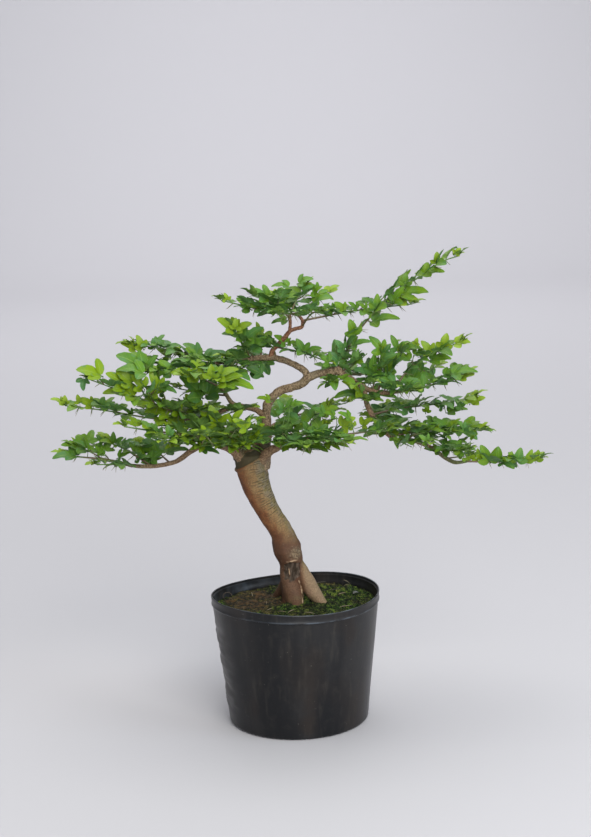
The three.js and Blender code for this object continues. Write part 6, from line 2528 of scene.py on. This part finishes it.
    def place_seen(self) -> None:
        """Adds the leaves of the SEEN table, each on a thin stalk from the nearest stem.

        A leaf that finds no room is moved a little forwards or back.
        """
        stems = np.vstack([
            line.at(np.linspace(0.0, 1.0, max(4, int(line.length / 2))))
            for line in self.lines.values()])
        before = self.leaf_count()
        for pad, rows in SEEN.items():
            for number, row in enumerate(rows):
                for shift in self.shifts:
                    leaf = self.seen_leaf(row, shift, 5000.0 + 31 * number + len(pad))
                    away = np.linalg.norm(stems - leaf.base, axis=1)
                    if self.has_room(leaf, self.edge_room) and away.min() < self.longest_stalk:
                        self.add(pad, leaf)
                        stalk = self.stalk(stems[away.argmin()], leaf.base + leaf.out * 0.5)
                        self.others[pad].append(stalk)
                        break
        wanted = sum(len(rows) for rows in SEEN.values())
        log.info("leaves at the edges of the pads: %d of %d", self.leaf_count() - before, wanted)

    def stalk(self, start: Array, end: Array) -> Surface:
        """A thin green twig in a slight bow, which sags as a half sine wave.

        Args:
            start: a place on a stem.
            end: the foot of a leaf.

        Returns:
            The twig.
        """
        share = np.linspace(0.0, 1.0, 5)
        run = float(np.linalg.norm(end - start)) + 0.1
        sag = UP * (-0.10 * run * np.sin(np.pi * share))[:, None]
        points = start + (end - start) * share[:, None] + sag
        radii = np.linspace(0.62, 0.42, 5) * min(1.0, 0.6 + run / 40)
        made = tube(points, path_directions(points), radii, 5, look=1)
        made.values = {"age": np.concatenate([np.repeat(0.5 - 0.4 * share, 5), [0.5, 0.1]])}
        return made

    def fill(self) -> list[tuple[str, Shoot]]:
        """Grows the fillers, where the pads are denser than the model's shoots make them.

        Returns:
            Each shoot with its pad.
        """
        shoots = []
        for pad, group in FILLERS.items():
            for limb, at, route in group.values():
                stem = Line([self.lines[limb].at(at)[0], *route])
                shoot = Shoot(100 + len(shoots), stem, **FILLER_FORM)
                for node in reversed(shoot.nodes):
                    self.offer(pad, shoot, node, 1, 0.95, 0.0)
                shoots.append((pad, shoot))
        return shoots

    def twig(self, pad: str, number: float, line: Line, share: float, sign: int) -> None:
        """Grows one short side twig, if two of its leaves find room.

        Args:
            pad: the pad that it belongs to.
            number: its own number.
            line: the line that it leaves.
            share: where on the line.
            sign: to which side.
        """
        base, tangent = line.at(share)[0], line.tangent(share)[0]
        up = unit(UP - tangent * tangent[2])
        left = np.cross(up, tangent)
        angle, lift = 0.75 + 0.55 * draw(number, 71), 0.26 * draw(number, 72)
        out = tangent * (math.cos(angle) * math.cos(lift))
        out = out + left * (sign * math.sin(angle) * math.cos(lift)) + up * math.sin(lift)
        reach = 13.0 + 15.0 * draw(number, 73)
        bend = UP * reach * 0.14 * (draw(number, 74) - 0.2) + tangent * reach * 0.12
        stem = Line([base, base + out * reach * 0.5, base + out * reach + bend])
        shoot = Shoot(number, stem, **TWIG_FORM)
        before = len(self.leaves[pad])
        for node in reversed(shoot.nodes):
            self.offer(pad, shoot, node, 1, 0.92, 300.0)
        if len(self.leaves[pad]) < before + 2:
            return
        self.others[pad].append(shoot.stem(5))
        if draw(number, 75) < 0.6:
            direction, length = shoot.spine(shoot.nodes[0], 0)
            self.spines(pad, shoot.nodes[0], direction, length * 0.6, 0.7)

    def thicken(self, pad: str, shoot: Shoot) -> None:
        """Gives a shoot its stem, a rosette at its tip and second leaves at its nodes.

        Args:
            pad: the pad that it belongs to.
            shoot: the shoot.
        """
        self.others[pad].append(shoot.stem())
        for node in shoot.nodes:
            if node.from_tip == 0:
                for k in range(self.rosette_leaves):
                    self.rosette(pad, shoot, node, k)
            elif draw(node.key, 80) < self.second_share * PAD_FULL.get(pad, FULL):
                self.offer(pad, shoot, node, -1, 0.80, 100.0)

    def grow(self) -> None:
        """Grows everything: the model's shoots, the leaves at the edges, the fillers, and the twigs."""
        shoots = self.follow_model()
        self.place_seen()
        shoots += self.fill()
        for pad, shoot in shoots:
            self.thicken(pad, shoot)
        number = 200.0
        for pad, shoot in shoots:
            if pad == "riser":
                continue
            back = 0.25 * shoot.spacing / shoot.line.length
            for node in shoot.nodes:
                number += 1
                if node.from_tip > 0 and draw(number, 81) < PAD_FULL.get(pad, FULL):
                    self.twig(pad, number, shoot.line, max(node.share - back, 0.02), -node.sign)
        for limb, (pad, first, last) in TWIGGED.items():
            line = self.lines[limb]
            count = int(line.length * (last - first) * PAD_FULL.get(pad, FULL) / self.twig_spacing)
            for k in range(count):
                number += 1
                share = first + (last - first) * (k + 0.5) / count
                self.twig(pad, number, line, share, 1 if k % 2 else -1)

    def rosette(self, pad: str, shoot: Shoot, node: Node, k: int) -> None:
        """Adds one of the small young leaves that stand up around a shoot's tip.

        Args:
            pad: the pad that it belongs to.
            shoot: the shoot.
            node: its last node.
            k: the number of the leaf.
        """
        turn = 1.7 * k + PHASE * draw(node.key, 82)
        out = node.tangent * 0.75 + node.up * (0.55 + 0.5 * math.cos(turn))
        out = unit(out + node.left * 0.8 * math.sin(turn))
        side = unit(np.cross(node.up + 0.01 * node.left, out))
        length = 6.0 + 5.0 * draw(node.key + k, 83)
        base = shoot.line.at(1.0)[0] - node.tangent * 1.5 * k
        key = node.key + 0.37 * k
        leaf = Leaf(base, out, side, np.cross(out, side), length, shoot.freshness, 0.9, key)
        if shoot.freshness == 1.0 or not self.in_gap(leaf):
            self.leaves[pad].append(leaf)

    def build(self) -> None:
        """Makes one piece for each pad."""
        self.grow()
        finishes = [LeafGreen().material(), StemGreen().material()]
        for pad, leaves in self.leaves.items():
            whole = Surface.join([self.form.surface(leaves), *self.others[pad]])
            piece = whole.made("pad_" + pad, finishes)
            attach(piece, "root")
            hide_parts(*["spray_" + name for name in SHOOTS[pad]])
            log.info("pad %s: %d leaves, %d faces", pad, len(leaves), len(whole.faces))
        log.info("leaves in all: %d", self.leaf_count())


# Studio


@dataclass(frozen=True)
class Lamp:
    """A soft square light; its place, its size and its aim are in metres, its power in watts."""

    name: str
    place: Point
    size: float
    power: float
    colour: Colour
    aim: Point


LAMPS = (
    Lamp("key", (0.8, -2.5, 2.0), 1.7, 78.0, (1.0, 0.97, 0.91), (0.0, 0.0, 0.38)),
    Lamp("fill", (2.6, -1.2, 1.3), 1.6, 32.0, (0.80, 0.90, 1.0), (0.0, 0.0, 0.3)),
    Lamp("front", (0.3, -2.9, 1.0), 1.5, 32.0, (0.96, 0.98, 1.0), (0.0, 0.0, 0.42)),
    Lamp("top", (-0.3, 0.2, 3.2), 2.0, 42.0, (1.0, 0.99, 0.95), (0.0, 0.1, 0.2)),
    Lamp("floor", (0.0, 2.9, 3.3), 3.0, 56.0, (1.0, 0.99, 1.0), (0.0, 3.2, 0.0)),
    Lamp("wall", (0.0, 4.4, 3.6), 3.4, 90.0, (1.0, 0.99, 1.0), (0.0, 6.6, 0.7)))


@dataclass
class Studio:
    """The camera, the pale paper and the soft lights."""

    width: int = 591
    focal: float = 1790.0
    sensor: float = 36.0
    pitch: float = math.radians(10.8)
    roll: float = math.radians(1.9)
    place: Point = (7.6, -2166.0, 798.0)
    half_width: float = 9000.0
    bend_start: float = 4700.0
    bend_radius: float = 1600.0
    paper_top: float = 5600.0
    paper_gap: float = 0.3
    sky_colour: Colour = (0.93, 0.95, 1.0)
    sky_strength: float = 0.48

    def stand(self, name: str, data: Any, axes: Sequence[Array], place: Iterable[float]) -> Any:
        """Stands a camera or a light in the scene.

        Args:
            name: its name.
            data: its settings.
            axes: its right, its up and its back.
            place: where it stands, in metres.

        Returns:
            The object.
        """
        pose = Matrix([[*row] for row in np.stack(axes, axis=1).tolist()]).to_4x4()
        pose.translation = list(place)
        thing = bpy.data.objects.new(name, data)
        thing.matrix_world = pose
        bpy.context.scene.collection.objects.link(thing)
        return thing

    def camera(self) -> None:
        """Stands the camera where the photograph was taken from."""
        level = np.array([1.0, 0.0, 0.0])
        ahead = np.array([0.0, math.cos(self.pitch), -math.sin(self.pitch)])
        above = np.array([0.0, math.sin(self.pitch), math.cos(self.pitch)])
        right = math.cos(self.roll) * level - math.sin(self.roll) * above
        up = math.sin(self.roll) * level + math.cos(self.roll) * above
        data = bpy.data.cameras.new("camera")
        data.sensor_fit = "HORIZONTAL"
        data.sensor_width = self.sensor
        data.lens = self.focal / self.width * self.sensor
        data.clip_start = 0.05
        data.clip_end = 60.0
        place = [c * MM for c in self.place]
        bpy.context.scene.camera = self.stand("camera", data, (right, up, -ahead), place)

    def paper(self) -> None:
        """The floor, which bends up into the backdrop in a quarter circle."""
        floor = np.linspace(-self.half_width, self.bend_start, 12)
        turn = np.linspace(0.0, np.pi / 2, 16)[1:]
        bend = self.bend_start + self.bend_radius * np.sin(turn)
        rise = self.bend_radius - self.bend_radius * np.cos(turn) - self.paper_gap
        line = np.vstack([
            np.stack([floor, np.full(len(floor), -self.paper_gap)], axis=1),
            np.stack([bend, rise], axis=1),
            [(self.bend_start + self.bend_radius, self.paper_top)]])
        across = np.linspace(-self.half_width, self.half_width, 9)
        x, y = np.meshgrid(across, line[:, 0])
        z = np.repeat(line[:, 1:], len(across), axis=1)
        points = np.stack([x, y, z], axis=-1).reshape(-1, 3)
        faces = sheet_faces(len(line), len(across))
        Surface(points, faces).made("studio_paper", [StudioPaper().material()])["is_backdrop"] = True

    def light(self, lamp: Lamp) -> None:
        """Adds a light, turned towards its aim.

        Args:
            lamp: the light.
        """
        data = bpy.data.lights.new(lamp.name, "AREA")
        data.shape = "SQUARE"
        data.size = lamp.size
        data.energy = lamp.power
        data.color = lamp.colour
        away = unit(np.array(lamp.place) - np.array(lamp.aim))
        right = unit(np.cross(UP + 1e-3, away))
        self.stand(lamp.name, data, (right, np.cross(away, right), away), lamp.place)

    def build(self) -> None:
        """Sets up the camera, the paper, the lights and the sky."""
        self.camera()
        self.paper()
        for lamp in LAMPS:
            self.light(lamp)
        world = bpy.data.worlds.new("soft_sky")
        world.use_nodes = True
        sky = world.node_tree.nodes["Background"]
        sky.inputs["Color"].default_value = (*self.sky_colour, 1.0)
        sky.inputs["Strength"].default_value = self.sky_strength
        bpy.context.scene.world = world
        view = bpy.context.scene.view_settings
        view.view_transform = "Standard"
        view.look = "None"
        view.exposure = 0.0


def main() -> None:
    """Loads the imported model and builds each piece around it."""
    logging.basicConfig(level=logging.INFO, format="%(name)s: %(message)s")
    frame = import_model()
    Studio().build()
    pot = NurseryPot()
    pot.build()
    log.info("pot made")
    soil = frame["nodes"]["soil"]
    soil.data.materials.clear()
    soil.data.materials.append(SoilMix().material())
    bed = MossBed(pot)
    bed.build()
    Litter(bed).build()
    log.info("moss and litter made")
    wood = TreeWood()
    foliage = Foliage(wood, frame)
    wood.build()
    log.info("wood made")
    foliage.build()


if __name__ == "__main__":
    main()
